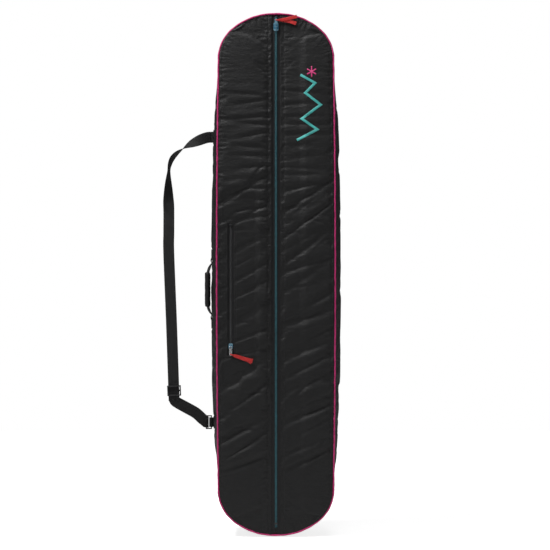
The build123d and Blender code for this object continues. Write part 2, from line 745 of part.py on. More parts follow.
with BuildPart() as handle_grip:
    with BuildSketch(Plane.XY.offset(HANDLE_GRIP_BOTTOM)):
        with Locations((HANDLE_GRIP_X, -HANDLE_HEIGHT)):
            Ellipse(HANDLE_GRIP_HALF_X, HANDLE_GRIP_HALF_Y)
            Rectangle(HANDLE_WEB_THICKNESS, HANDLE_WEB_WIDTH, mode=Mode.SUBTRACT)
    extrude(amount=HANDLE_GRIP_TOP - HANDLE_GRIP_BOTTOM)
handle_grip.part.label = "handle_grip"
export_step(handle_grip.part, "parts/handle_grip.step")

# Shoulder strap on the left side --------------------------------------------------------------

STRAP_HEIGHT = STRAP_AXIS_HEIGHT + STRAP_LAYER
RETURN_HEIGHT = STRAP_AXIS_HEIGHT - STRAP_LAYER
RING_FAR_X = STRAP_AXIS_X - RING_SPAN
RING_HEIGHT = STRAP_AXIS_HEIGHT - RING_BAR / 2
STUB_GAP = 1.3
STRAP_ROOT_GAP = 0.4
ANCHOR_WIDTH = 30
TAB_WEB_WIDTH = 28
LOOP_INNER = 2.4
LOOP_WEB = 1.5
FLAT = 180

# Stations along the strap: x, z, heading in degrees, twist in degrees
STRAP_BENDS = [
    (-225, 390, 197, 15),
    (-245, 381, 204, 40),
    (-260, 373, 209, 65),
    (-275, 363, 212, 90),
    (-290, 352, 222, 105),
    (-302, 338, 240, 110),
    (-309, 321, 255, 105),
    (-312, 300, 266, 100),
    (-313, 262, 269, 125),
    (-313, 225, 270, 152),
    (-312, 188, 270, FLAT),
]
RUN_TOP_X = -312
RUN_TOP_Z = 60
RUN_BOTTOM_X = -296
RUN_BOTTOM_Z = -352
STRAP_TURN = [
    (-290, -376, 312, FLAT),
    (-268, -391, 332, FLAT),
    (-236, -407, 334, FLAT),
    (-218, -421, 342, FLAT),
]
RUN = Vector(RUN_BOTTOM_X - RUN_TOP_X, 0, RUN_BOTTOM_Z - RUN_TOP_Z)
RUN_HEADING = 270 + Vector(0, 0, -1).get_angle(RUN)


def strap_section(x, z, heading, twist, height):
    """Webbing cross-section; heading is its run in the front plane, twist turns its width."""
    run = Vector(1, 0, 0).rotate(Axis.Y, -heading)
    across = Vector(0, 0, 1).rotate(Axis.Y, -heading).rotate(Axis((0, 0, 0), run), twist)
    with BuildSketch(Plane(origin=(x, -height, z), x_dir=across, z_dir=run)) as shape:
        Rectangle(WEB_WIDTH, WEB_THICKNESS)
    return shape.sketch


def webbing(sections):
    """Webbing joined through a row of cross-sections."""
    with BuildPart() as shape:
        for start, end in zip(sections, sections[1:]):
            loft([start, end])
    return shape.part


with BuildPart() as strap_anchor:
    anchor_low = STRAP_TOP_Z - WEB_WIDTH / 2
    anchor_high = STRAP_TOP_Z + WEB_WIDTH / 2
    anchor_surface = side_x(anchor_low - 4)
    web_low = STRAP_AXIS_HEIGHT - WEB_THICKNESS / 2
    web_high = STRAP_AXIS_HEIGHT + WEB_THICKNESS / 2
    stub_x = (STRAP_AXIS_X + STUB_GAP, -anchor_surface - SEW_GAP)
    add(side_patch(anchor_low - 4, anchor_high + 4, ANCHOR_WIDTH, STRAP_AXIS_HEIGHT, anchor_surface))
    add(block(*stub_x, anchor_low, anchor_high, web_low, web_high))
strap_anchor.part.label = "strap_anchor"
export_step(strap_anchor.part, "parts/strap_anchor.step")

with BuildPart() as shoulder_strap:
    root = strap_section(STRAP_AXIS_X - STRAP_ROOT_GAP, STRAP_TOP_Z, 180, 0, STRAP_AXIS_HEIGHT)
    bends = [strap_section(*bend, STRAP_HEIGHT) for bend in STRAP_BENDS]
    run_top = strap_section(RUN_TOP_X, RUN_TOP_Z, RUN_HEADING, FLAT, STRAP_HEIGHT)
    run_bottom = strap_section(RUN_BOTTOM_X, RUN_BOTTOM_Z, RUN_HEADING, FLAT, STRAP_HEIGHT)
    turns = [strap_section(*turn, STRAP_HEIGHT) for turn in STRAP_TURN]
    ring_end = strap_section(RING_FAR_X, STRAP_RING_Z, 360, FLAT, STRAP_HEIGHT)
    returns = [strap_section(*turn, RETURN_HEIGHT) for turn in STRAP_TURN]
    return_end = strap_section(RING_FAR_X, STRAP_RING_Z, 360, FLAT, RETURN_HEIGHT)
    add(webbing([root, *bends, run_top]))
    extrude(run_top, amount=RUN.length)
    add(webbing([run_bottom, *turns, ring_end]))
    add(webbing([*returns, return_end]))
    with BuildSketch(Plane.XY.offset(STRAP_RING_Z - WEB_WIDTH / 2)):
        with Locations((RING_FAR_X, -STRAP_AXIS_HEIGHT)):
            Circle(STRAP_LAYER + WEB_THICKNESS / 2)
            Circle(STRAP_LAYER - WEB_THICKNESS / 2, mode=Mode.SUBTRACT)
        with Locations((RING_FAR_X - WEB_WIDTH / 2, -STRAP_AXIS_HEIGHT)):
            Rectangle(WEB_WIDTH, WEB_WIDTH, mode=Mode.SUBTRACT)
    extrude(amount=WEB_WIDTH)
shoulder_strap.part.label = "shoulder_strap"
export_step(shoulder_strap.part, "parts/shoulder_strap.step")

ADJUSTER_BACK_OFF = 14
ADJUSTER_LENGTH = 30
ADJUSTER_RAIL = 3
ADJUSTER_BAR = 3.4
ADJUSTER_MIDDLE_BAR = 4
ADJUSTER_SIDE_GAP = 0.6
ADJUSTER_FACE_GAP = 0.5
ADJUSTER_HALF_DEPTH = 4.6
ADJUSTER_INNER = WEB_WIDTH / 2 + ADJUSTER_SIDE_GAP
ADJUSTER_OUTER = ADJUSTER_INNER + ADJUSTER_RAIL
ADJUSTER_BAR_LOW = WEB_THICKNESS / 2 + ADJUSTER_FACE_GAP
ADJUSTER_BAR_DEPTH = ADJUSTER_HALF_DEPTH - ADJUSTER_BAR_LOW

with BuildPart() as strap_adjuster:
    up_run = Vector(0, 0, 0) - RUN.normalized()
    place = Vector(RUN_BOTTOM_X, -STRAP_HEIGHT, RUN_BOTTOM_Z) + up_run * ADJUSTER_BACK_OFF
    face = Plane(origin=place, x_dir=up_run.rotate(Axis.Y, 90), z_dir=(0, -1, 0))
    end_bar_y = ADJUSTER_LENGTH / 2 - ADJUSTER_BAR / 2
    with BuildSketch(face.offset(-ADJUSTER_HALF_DEPTH)):
        with Locations((ADJUSTER_INNER + ADJUSTER_RAIL / 2, 0), (-ADJUSTER_INNER - ADJUSTER_RAIL / 2, 0)):
            Rectangle(ADJUSTER_RAIL, ADJUSTER_LENGTH)
    extrude(amount=2 * ADJUSTER_HALF_DEPTH)
    with BuildSketch(face.offset(ADJUSTER_BAR_LOW)):
        with Locations((0, end_bar_y), (0, -end_bar_y)):
            Rectangle(2 * ADJUSTER_OUTER, ADJUSTER_BAR)
    extrude(amount=ADJUSTER_BAR_DEPTH)
    with BuildSketch(face.offset(-ADJUSTER_HALF_DEPTH)):
        Rectangle(2 * ADJUSTER_OUTER, ADJUSTER_MIDDLE_BAR)
    extrude(amount=ADJUSTER_BAR_DEPTH)
strap_adjuster.part.label = "strap_adjuster"
export_step(strap_adjuster.part, "parts/strap_adjuster.step")

with BuildPart() as strap_ring:
    with BuildSketch(front_plane(RING_HEIGHT)):
        with Locations(((STRAP_AXIS_X + RING_FAR_X) / 2, STRAP_RING_Z)):
            RectangleRounded(RING_SPAN + RING_BAR, RING_OPENING + 2 * RING_BAR, 1.2)
            Rectangle(RING_SPAN - RING_BAR, RING_OPENING, mode=Mode.SUBTRACT)
    extrude(amount=RING_BAR)
strap_ring.part.label = "strap_ring"
export_step(strap_ring.part, "parts/strap_ring.step")

with BuildPart() as strap_ring_tab:
    tab_low = STRAP_RING_Z - TAB_WEB_WIDTH / 2
    tab_high = STRAP_RING_Z + TAB_WEB_WIDTH / 2
    tab_surface = side_x(tab_high + 3)
    neck_far_x = -tab_surface - SEW_GAP
    neck_half = LOOP_WEB + SEW_GAP
    add(side_patch(tab_low - 3, tab_high + 3, ANCHOR_WIDTH, STRAP_AXIS_HEIGHT, tab_surface))
    with BuildSketch(Plane.XY.offset(tab_low)):
        with Locations((STRAP_AXIS_X, -STRAP_AXIS_HEIGHT)):
            Circle(LOOP_INNER + LOOP_WEB)
        with Locations(((STRAP_AXIS_X + neck_far_x) / 2, -STRAP_AXIS_HEIGHT)):
            Rectangle(neck_far_x - STRAP_AXIS_X, 2 * neck_half)
        with Locations((STRAP_AXIS_X, -STRAP_AXIS_HEIGHT)):
            Circle(LOOP_INNER, mode=Mode.SUBTRACT)
    extrude(amount=TAB_WEB_WIDTH)
strap_ring_tab.part.label = "strap_ring_tab"
export_step(strap_ring_tab.part, "parts/strap_ring_tab.step")
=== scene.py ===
"""Looks for the snowboard bag: cloth, webbing, zips, materials, light and camera, all in metres."""

import json
import math

import bmesh
import bpy
import numpy as np
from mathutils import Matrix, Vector
from mathutils.bvhtree import BVHTree

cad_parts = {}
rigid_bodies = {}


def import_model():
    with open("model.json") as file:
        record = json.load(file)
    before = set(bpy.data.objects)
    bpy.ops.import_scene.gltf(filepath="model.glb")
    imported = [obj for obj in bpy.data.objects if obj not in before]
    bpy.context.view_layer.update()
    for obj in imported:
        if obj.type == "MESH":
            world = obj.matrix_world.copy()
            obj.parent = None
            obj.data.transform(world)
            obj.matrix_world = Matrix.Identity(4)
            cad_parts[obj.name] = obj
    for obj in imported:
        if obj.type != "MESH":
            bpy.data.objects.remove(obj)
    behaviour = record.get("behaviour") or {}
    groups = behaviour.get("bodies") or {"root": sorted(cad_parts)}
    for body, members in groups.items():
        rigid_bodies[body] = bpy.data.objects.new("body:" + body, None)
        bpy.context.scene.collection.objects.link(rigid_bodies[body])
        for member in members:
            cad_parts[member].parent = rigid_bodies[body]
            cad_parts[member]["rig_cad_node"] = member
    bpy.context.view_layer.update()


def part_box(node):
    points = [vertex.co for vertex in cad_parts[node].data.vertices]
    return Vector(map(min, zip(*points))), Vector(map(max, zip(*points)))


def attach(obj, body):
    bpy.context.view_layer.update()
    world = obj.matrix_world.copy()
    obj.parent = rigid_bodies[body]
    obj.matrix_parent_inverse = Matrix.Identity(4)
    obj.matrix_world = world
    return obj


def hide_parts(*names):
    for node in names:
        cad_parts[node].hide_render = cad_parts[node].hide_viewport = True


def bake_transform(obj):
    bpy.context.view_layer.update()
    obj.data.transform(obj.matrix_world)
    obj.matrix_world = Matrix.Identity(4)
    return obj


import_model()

MM = 0.001
SIDES = ((-1, "left"), (1, "right"))

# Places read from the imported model
PANEL_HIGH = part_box("back_panel")[1]
SIDE_LOW, SIDE_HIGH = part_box("side_gusset_left")
STOP_UP_LOW, STOP_UP_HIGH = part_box("pocket_stop_upper")
MID_HALF = PANEL_HIGH[0]
SHOULDER_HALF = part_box("end_gusset_top")[1][0]
SHOULDER_Z = SIDE_HIGH[2]
END_RISE = PANEL_HIGH[2] - SHOULDER_Z
SWELL = -SIDE_LOW[0] - MID_HALF
END_SWELL = 2.5 * MM
FRONT_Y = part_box("front_frame_left")[0][1]
POCKET_X = (STOP_UP_LOW[0] + STOP_UP_HIGH[0]) / 2
POCKET_TOP = STOP_UP_HIGH[2] + 1 * MM
POCKET_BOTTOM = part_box("pocket_stop_lower")[0][2] - 1 * MM
POCKET_HALF = 8 * MM

# Lines of the front halves
ZIP_EDGE = 12 * MM
ZIP_STITCH = 23 * MM
SEAM_STITCH = 11 * MM
FOLD_X = 152 * MM
SEWN_Z = 0.69

# How high the front cloth may stand: anywhere, under the main pull's sweep, under the pocket pull's sweep
FREE_RISE = 8 * MM
MAIN_RISE = 2.9 * MM
POCKET_RISE = 1.0 * MM

# Fittings on the left wall: heights are over the back face
HANDLE_H = 60 * MM
HANDLE_X = -199 * MM
STRAP_H = 57.5 * MM
RING_Z = -430 * MM
PATCH_THICK = 1.9 * MM


# Mesh helpers

def mesh_object(name, points, faces, uvs=None):
    """A smooth-shaded mesh object from points and faces, with an optional UV per point in metres."""
    mesh = bpy.data.meshes.new(name)
    mesh.from_pydata([tuple(p) for p in points], [], [tuple(f) for f in faces])
    if uvs is not None:
        layer = mesh.uv_layers.new(name="weave")
        loops = np.empty(len(mesh.loops), np.int32)
        mesh.loops.foreach_get("vertex_index", loops)
        layer.data.foreach_set("uv", np.asarray(uvs, np.float32)[loops].ravel())
    mesh.validate()
    mesh.polygons.foreach_set("use_smooth", [True] * len(mesh.polygons))
    piece = bpy.data.objects.new(name, mesh)
    bpy.context.scene.collection.objects.link(piece)
    return piece


def grid_faces(rows, cols, wrap_rows=False, wrap_cols=False, flip=False, skip=None):
    """Quads over a grid of rows by cols points, with any skipped cells left out."""
    faces = []
    for r in range(rows if wrap_rows else rows - 1):
        for c in range(cols if wrap_cols else cols - 1):
            if skip is not None and skip(r, c):
                continue
            r2 = (r + 1) % rows
            c2 = (c + 1) % cols
            face = (r * cols + c, r * cols + c2, r2 * cols + c2, r2 * cols + c)
            faces.append(face[::-1] if flip else face)
    return faces


def tube_faces(rows, sides, turned=False):
    """Walls and both end caps of a tube; turned is for rings that run the other way round."""
    first = tuple(range(sides))
    last = tuple((rows - 1) * sides + k for k in first)
    caps = [first, last[::-1]] if turned else [first[::-1], last]
    return grid_faces(rows, sides, wrap_cols=True) + caps


def shifted(faces, base):
    """The faces renumbered to start at another point."""
    return [tuple(base + i for i in face) for face in faces]


def stacked(*parts):
    """Rows of numbers from grids that broadcast against each other."""
    return np.stack([part.ravel() for part in np.broadcast_arrays(*parts)], 1)


def front_uvs(points):
    return [(p[0], p[2]) for p in points]


def unit_rows(rows):
    return rows / np.linalg.norm(rows, axis=1)[:, None]


def run_length(path):
    """Distance along a polyline at each of its points."""
    return np.concatenate([[0], np.cumsum(np.linalg.norm(np.diff(path, axis=0), axis=1))])


def apply_modifiers(piece):
    """Makes every modifier's result the piece's own mesh."""
    bpy.context.view_layer.update()
    graph = bpy.context.evaluated_depsgraph_get()
    result = bpy.data.meshes.new_from_object(piece.evaluated_get(graph))
    piece.modifiers.clear()
    piece.data = result
    return piece


def subdivide(piece):
    """One level of smooth subdivision, applied."""
    modifier = piece.modifiers.new("subdivision", "SUBSURF")
    modifier.levels = 1
    modifier.render_levels = 1
    modifier.boundary_smooth = "PRESERVE_CORNERS"
    return apply_modifiers(piece)


def thicken(piece, thickness, offset=-1):
    """Gives a sheet its thickness, applied."""
    modifier = piece.modifiers.new("thickness", "SOLIDIFY")
    modifier.thickness = thickness
    modifier.offset = offset
    return apply_modifiers(piece)


def points_of(piece):
    """The piece's points as an array."""
    flat = np.empty(len(piece.data.vertices) * 3)
    piece.data.vertices.foreach_get("co", flat)
    return flat.reshape(-1, 3)


def set_points(piece, points):
    piece.data.vertices.foreach_set("co", np.asarray(points).ravel())
    piece.data.update()


def simulate_cloth(piece, pinned, pressure, growth, cap):
    """Cloth simulation of a pinned panel: it grows a little, is blown out, and settles into folds."""
    start = points_of(piece).copy()
    group = piece.vertex_groups.new(name="pinned")
    group.add([int(i) for i in np.nonzero(pinned)[0]], 1.0, "REPLACE")
    modifier = piece.modifiers.new("cloth", "CLOTH")
    settings = modifier.settings
    settings.quality = 4
    settings.mass = 0.25
    settings.tension_stiffness = 30
    settings.compression_stiffness = 30
    settings.shear_stiffness = 15
    settings.bending_stiffness = 0.6
    settings.air_damping = 4
    settings.use_pressure = True
    settings.uniform_pressure_force = pressure
    settings.shrink_min = -growth
    settings.vertex_group_mass = "pinned"
    settings.effector_weights.gravity = 0
    modifier.collision_settings.use_collision = False
    modifier.point_cache.frame_start = 1
    modifier.point_cache.frame_end = 20
    scene = bpy.context.scene
    for step in range(1, 21):
        scene.frame_set(step)
    apply_modifiers(piece)
    scene.frame_set(1)
    moved = points_of(piece) - start
    length = np.linalg.norm(moved, axis=1)
    scale = np.where(length > cap, cap / np.maximum(length, 1e-9), 1.0)
    set_points(piece, start + moved * scale[:, None])


def smooth_step(value, low, high):
    share = np.clip((value - low) / (high - low), 0, 1)
    return share * share * (3 - 2 * share)


def between(value, rise_from, rise_to, fall_from, fall_to):
    """1 between the two ramps and 0 outside them."""
    return smooth_step(value, rise_from, rise_to) * smooth_step(-value, -fall_to, -fall_from)


def groove(gap, width):
    """Cross-section of a line pressed into cloth, 1 at the line."""
    return np.exp(-(gap / width) ** 2)


def soft_limit(value, start, span):
    """The value up to start, then easing off within span past it."""
    return np.minimum(value, start) + span * np.tanh(np.maximum(value - start, 0) / span)


def bend_with_flap(piece):
    """Bakes the piece's transform into its mesh; it does not bend the piece."""
    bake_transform(piece)
    points = np.abs(points_of(piece))


# Materials

class Nodes:
    """Short way to build one Principled material from nodes."""

    def __init__(self, name):
        self.material = bpy.data.materials.new(name)
        self.material.use_nodes = True
        self.tree = self.material.node_tree
        self.bsdf = self.tree.nodes["Principled BSDF"]

    def feed(self, socket, value):
        """Links an output to a socket, or gives the socket a plain value."""
        if isinstance(value, bpy.types.NodeSocket):
            self.tree.links.new(value, socket)
        else:
            socket.default_value = value

    def add(self, kind, inputs=None, **values):
        node = self.tree.nodes.new(kind)
        for key, value in values.items():
            setattr(node, key, value)
        for key, value in (inputs or {}).items():
            self.feed(node.inputs[key], value)
        return node

    def set(self, **values):
        for key, value in values.items():
            self.feed(self.bsdf.inputs[key.replace("_", " ")], value)

    def weave(self):
        return self.add("ShaderNodeUVMap", uv_map="weave").outputs[0]

    def place(self):
        return self.add("ShaderNodeTexCoord").outputs["Object"]

    def split(self, vector):
        return self.add("ShaderNodeSeparateXYZ", {0: vector}).outputs

    def math(self, operation, *values):
        return self.add("ShaderNodeMath", dict(enumerate(values)), operation=operation).outputs[0]

    def wave(self, value, turns):
        return self.math("SINE", self.math("MULTIPLY", value, turns))

    def noise(self, vector, scale, detail=3, roughness=0.55):
        inputs = {"Vector": vector, "Scale": scale, "Detail": detail, "Roughness": roughness}
        return self.add("ShaderNodeTexNoise", inputs).outputs["Fac"]

    def stretch(self, vector, x, y, z, turn=0.0):
        inputs = {"Vector": vector, "Scale": (x, y, z), "Rotation": (0, turn, 0)}
        return self.add("ShaderNodeMapping", inputs).outputs[0]

    def ramp(self, factor, low, high, low_at=0.0, high_at=1.0):
        node = self.add("ShaderNodeValToRGB", {0: factor})
        for k, (colour, position) in enumerate(((low, low_at), (high, high_at))):
            node.color_ramp.elements[k].color = (*colour, 1)
            node.color_ramp.elements[k].position = position
        return node.outputs[0]

    def spread(self, factor, low, high):
        return self.add("ShaderNodeMapRange", {"Value": factor, "To Min": low, "To Max": high}).outputs[0]

    def bump(self, height, strength, distance, **normal):
        inputs = {"Height": height, "Strength": strength, "Distance": distance, **normal}
        return self.add("ShaderNodeBump", inputs).outputs[0]


def weave_height(nodes, vector, pitch):
    """Plain weave: over and under yarns from two crossed waves."""
    across, along, _ = nodes.split(vector)
    turns = math.pi / pitch
    cross = nodes.math("MULTIPLY", nodes.wave(across, turns), nodes.wave(along, turns))
    yarn = nodes.math("ABSOLUTE", nodes.wave(across, 2 * turns))
    return nodes.math("MULTIPLY_ADD", yarn, 0.35, cross)


def cloth_material(name, dark, light, pitch, roughness=0.5, crease=0.8):
    """Woven cloth: weave bump, yarn colour variation, soft creases and uneven gloss."""
    nodes = Nodes(name)
    vector = nodes.weave()
    cloudy = nodes.noise(vector, 9, 4)
    slub = nodes.noise(nodes.stretch(vector, 40, 900, 40), 1, 2)
    folds = nodes.noise(nodes.stretch(vector, 14, 34, 20, 0.5), 1, 5, 0.6)
    tone = nodes.math("MULTIPLY_ADD", slub, 0.5, nodes.math("MULTIPLY", cloudy, 0.5))
    nodes.set(Base_Color=nodes.ramp(tone, dark, light, 0.3, 0.7))
    nodes.set(Roughness=nodes.spread(cloudy, roughness - 0.08, roughness + 0.1))
    soft = nodes.bump(folds, crease, 0.004)
    nodes.set(Normal=nodes.bump(weave_height(nodes, vector, pitch), 0.35, 0.00025, Normal=soft))
    nodes.set(Sheen_Weight=0.0, Sheen_Roughness=0.45, Specular_IOR_Level=0.34)
    return nodes.material


def webbing_material(name, dark, light, pitch=1.5 * MM):
    """Ribbed webbing: crosswise ribs running in a chevron."""
    nodes = Nodes(name)
    vector = nodes.weave()
    across, along, _ = nodes.split(vector)
    turns = 2 * math.pi / pitch
    zigzag = nodes.math("PINGPONG", nodes.math("MULTIPLY", across, turns * 0.5), math.pi)
    rib = nodes.math("SINE", nodes.math("ADD", nodes.math("MULTIPLY", along, turns), zigzag))
    cloudy = nodes.noise(vector, 30, 3)
    nodes.set(Base_Color=nodes.ramp(nodes.math("MULTIPLY_ADD", rib, 0.2, cloudy), dark, light, 0.25, 0.8))
    nodes.set(Roughness=nodes.spread(cloudy, 0.6, 0.8), Normal=nodes.bump(rib, 0.6, 0.0004))
    nodes.set(Sheen_Weight=0.03, Specular_IOR_Level=0.28)
    return nodes.material


def metal_material(name, colour, worn, roughness, metallic):
    """Painted or plated metal: fine scratches, worn edges and fingerprints in the gloss."""
    nodes = Nodes(name)
    vector = nodes.place()
    scratches = nodes.noise(nodes.stretch(vector, 4000, 500, 300), 1, 2)
    smudge = nodes.noise(vector, 160, 3)
    edge = nodes.add("ShaderNodeNewGeometry").outputs["Pointiness"]
    wear = nodes.math("MULTIPLY_ADD", smudge, 0.12, edge)
    nodes.set(Base_Color=nodes.ramp(wear, colour, worn, 0.6, 0.68))
    nodes.set(Roughness=nodes.spread(smudge, roughness - 0.05, roughness + 0.15))
    nodes.set(Metallic=metallic, Normal=nodes.bump(scratches, 0.15, 0.0001))
    return nodes.material


def plastic_material(name, colour, light):
    """Moulded plastic: fine spark-erosion grain with soft gloss changes."""
    nodes = Nodes(name)
    vector = nodes.place()
    grain = nodes.noise(vector, 2600, 2)
    cloudy = nodes.noise(vector, 90, 3)
    nodes.set(Base_Color=nodes.ramp(cloudy, colour, light, 0.3, 0.75))
    nodes.set(Roughness=nodes.spread(cloudy, 0.38, 0.55), Normal=nodes.bump(grain, 0.25, 0.0002))
    return nodes.material


def satin_material(name, dark, light, rib_pitch=0.6 * MM):
    """Satin ribbon, tape or thread: tight crosswise ribs with a soft shine."""
    nodes = Nodes(name)
    vector = nodes.weave()
    rib = nodes.wave(nodes.split(vector)[1], 2 * math.pi / rib_pitch)
    cloudy = nodes.noise(vector, 60, 3)
    nodes.set(Base_Color=nodes.ramp(cloudy, dark, light, 0.3, 0.7))
    nodes.set(Roughness=nodes.spread(cloudy, 0.42, 0.6), Normal=nodes.bump(rib, 0.3, 0.0002))
    nodes.set(Sheen_Weight=0.1, Specular_IOR_Level=0.4)
    return nodes.material


def ink_material(name, colour, pale):
    """Screen-printed ink that lets a little of the weave through and cracks slightly."""
    nodes = Nodes(name)
    vector = nodes.weave()
    cracks = nodes.noise(vector, 700, 4, 0.7)
    tone = nodes.math("MULTIPLY_ADD", cracks, 0.4, nodes.noise(vector, 45, 3))
    weave = weave_height(nodes, vector, 0.5 * MM)
    nodes.set(Base_Color=nodes.ramp(tone, colour, pale, 0.4, 1.0))
    nodes.set(Roughness=nodes.spread(cracks, 0.45, 0.65), Normal=nodes.bump(weave, 0.25, 0.0002))
    return nodes.material


BLACK = (0.0035, 0.0035, 0.0038)
BLACK_LIT = (0.0075, 0.0075, 0.008)
SHELL = cloth_material("shell_cloth", BLACK, BLACK_LIT, 0.55 * MM, 0.55)
GRIP = cloth_material("grip_cloth", BLACK, BLACK_LIT, 0.55 * MM, 0.55)
LINING = cloth_material("lining_cloth", (0.085, 0.088, 0.095), (0.13, 0.135, 0.145), 0.5 * MM, 0.6)
TAPE = cloth_material("zip_tape", (0.003, 0.003, 0.0035), (0.008, 0.008, 0.009), 0.7 * MM, crease=0.1)
WEBBING = webbing_material("webbing", BLACK, (0.010, 0.010, 0.0105))
PIPING = satin_material("piping", (0.42, 0.010, 0.11), (0.62, 0.022, 0.19))
RIBBON = satin_material("ribbon", (0.42, 0.010, 0.010), (0.60, 0.026, 0.024))
THREAD = satin_material("thread", (0.005, 0.005, 0.0055), (0.012, 0.012, 0.013))
COIL = plastic_material("teal_coil", (0.010, 0.072, 0.095), (0.022, 0.135, 0.165))
PLASTIC = plastic_material("hardware_plastic", (0.012, 0.012, 0.013), (0.03, 0.03, 0.032))
PAINT = metal_material("painted_metal", (0.04, 0.19, 0.32), (0.20, 0.36, 0.45), 0.28, 0.3)
CHROME = metal_material("bright_metal", (0.68, 0.70, 0.72), (0.9, 0.9, 0.92), 0.22, 0.95)
INK_TEAL = ink_material("print_teal", (0.03, 0.36, 0.34), (0.10, 0.52, 0.48))
INK_PINK = ink_material("print_pink", (0.62, 0.025, 0.17), (0.75, 0.07, 0.26))


def finish(piece, material, slot_name, *nodes, body=None, flap=None):
    """Gives a piece its material, hides the model nodes it stands for, attaches it to its body, and bakes a
    flap piece's transform; slot_name is not used.
    """
    piece.data.materials.clear()
    piece.data.materials.append(material)
    if nodes:
        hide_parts(*nodes)
    if body:
        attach(piece, body)
    if flap:
        bend_with_flap(piece)
    return piece


# Bag outline

def half_width(z):
    return MID_HALF - (MID_HALF - SHOULDER_HALF) * (z / SHOULDER_Z) ** 2


def reach_at(z):
    """Half width of the seam outline at any height, rounded ends included."""
    z = np.asarray(z, float)
    beyond = np.clip((np.abs(z) - SHOULDER_Z) / END_RISE, 0, 1)
    return np.where(np.abs(z) > SHOULDER_Z, SHOULDER_HALF * np.sqrt(1 - beyond ** 2), half_width(z))


def swell_at(z):
    """Swelling of the side walls at mid depth, a little softer at the rounded ends."""
    share = 1 - np.abs(np.clip(z / SHOULDER_Z, -1, 1)) ** 3
    return END_SWELL + (SWELL - END_SWELL) * share


def outline_points(step):
    """Points, outward normals and run length around the bag's seam line, from the bottom right up."""
    straight = np.arange(-SHOULDER_Z, SHOULDER_Z, step)
    arc = math.pi * (SHOULDER_HALF + END_RISE) / 2
    angles = np.linspace(0, math.pi, int(arc / step), endpoint=False)
    right = np.stack([half_width(straight), straight], 1)
    top = np.stack([SHOULDER_HALF * np.cos(angles), SHOULDER_Z + END_RISE * np.sin(angles)], 1)
    loop = np.concatenate([right, top, -right, -top])
    run = unit_rows(np.roll(loop, -1, 0) - np.roll(loop, 1, 0))
    normal = np.stack([run[:, 1], -run[:, 0]], 1)
    return loop, normal, run_length(loop)


def nearest_outline(points, loop):
    """Index of the outline point closest to each given point, seen from the front."""
    index = np.empty(len(points), int)
    batch = 4000
    for low in range(0, len(points), batch):
        part = points[low:low + batch, [0, 2]]
        gap = ((part[:, None, :] - loop[None, :, :]) ** 2).sum(2)
        index[low:low + batch] = gap.argmin(1)
    return index


def wall_sheet(name, outline, offset, depth, uvs=None, **grid):
    """A strip closed round the bag: offset outwards from the outline, one column per depth."""
    loop, normal, length = outline
    x = loop[:, :1] + normal[:, :1] * offset
    z = loop[:, 1:] + normal[:, 1:] * offset
    if uvs is None:
        uvs = stacked(length[:, None], depth[None, :])
    faces = grid_faces(len(loop), len(depth), wrap_rows=True, **grid)
    return mesh_object(name, stacked(x, -depth[None, :], z), faces, uvs)


# Wrinkles

def fold(points_2d, place, angle, length, width, height):
    """One soft fold: a ridge with a valley on one side."""
    run = np.array([math.cos(angle), math.sin(angle)])
    side = np.array([-run[1], run[0]])
    offset = points_2d - np.asarray(place)
    p = offset @ run / length
    q = offset @ side / width
    return height * np.exp(-(p * 2) ** 2) * (0.8 * np.exp(-q * q) - 1.1 * np.exp(-((q + 1.25) / 0.65) ** 2))


def random_fold(points_2d, rng, place, length, width, tall, angle, grow=1):
    """A fold with its length, width, height in mm and angle drawn in that order from the given ranges."""
    size = (rng.uniform(*length), rng.uniform(*width) * grow, rng.uniform(*tall) * grow * MM)
    return fold(points_2d, place, rng.uniform(*angle), *size)


def panel_wrinkles(points_2d, side):
    """Folds of one front half, placed as the cloth pulls between the seam and the zip."""
    rng = np.random.default_rng(11 if side < 0 else 12)
    height = np.zeros(len(points_2d))
    # Short puckers along the zip's stitching
    for z in np.arange(-0.70, 0.70, 0.011):
        place = (side * (0.024 + rng.uniform(0, 0.006)), z + rng.uniform(-0.004, 0.004))
        size = ((0.018, 0.05), (0.003, 0.005), (0.15, 0.5))
        height += random_fold(points_2d, rng, place, *size, (-0.15, 0.15))
    # Level folds in the upper part, taller on the left
    for z in np.arange(0.14, 0.55, 0.030):
        place = (side * rng.uniform(0.045, 0.085), z + rng.uniform(-0.008, 0.008))
        tall = (2.7 if side < 0 else 1.5) * rng.uniform(0.6, 1.1) * MM
        size = (rng.uniform(0.09, 0.16), rng.uniform(0.008, 0.013), tall)
        height += fold(points_2d, place, rng.uniform(-0.12, 0.25), *size)
    # Long folds rising to the right, broader lower down
    for z in np.arange(-0.52, 0.28, 0.046):
        place = (side * rng.uniform(0.06, 0.12), z + rng.uniform(-0.015, 0.015))
        broad = 1.6 - 0.6 * smooth_step(z, -0.30, 0.05)
        size = ((0.15, 0.26), (0.009, 0.016), (2.2, 4.2))
        height += random_fold(points_2d, rng, place, *size, (0.25, 0.65), broad)
    # Small loose folds between them
    for z in np.arange(-0.50, 0.30, 0.060):
        place = (side * rng.uniform(0.04, 0.14), z + rng.uniform(-0.02, 0.02))
        height += random_fold(points_2d, rng, place, (0.05, 0.10), (0.005, 0.009), (0.8, 1.8), (-0.3, 1.0))
    # Puckers at right angles to the outer seam
    loop, normal, _ = outline_points(0.013)
    for at, out in zip(loop, normal):
        if at[0] * side < ZIP_EDGE:
            continue
        curved = abs(at[1]) > SHOULDER_Z - 0.06
        tall = rng.uniform(0.25, 0.6) if curved else rng.uniform(0.05, 0.3)
        place = at - out * 0.012 + rng.uniform(-0.003, 0.003, 2)
        angle = math.atan2(out[1], out[0]) + rng.uniform(-0.2, 0.2)
        height += fold(points_2d, place, angle, rng.uniform(0.02, 0.05), rng.uniform(0.003, 0.005), tall * MM)
    return height


# Sheets

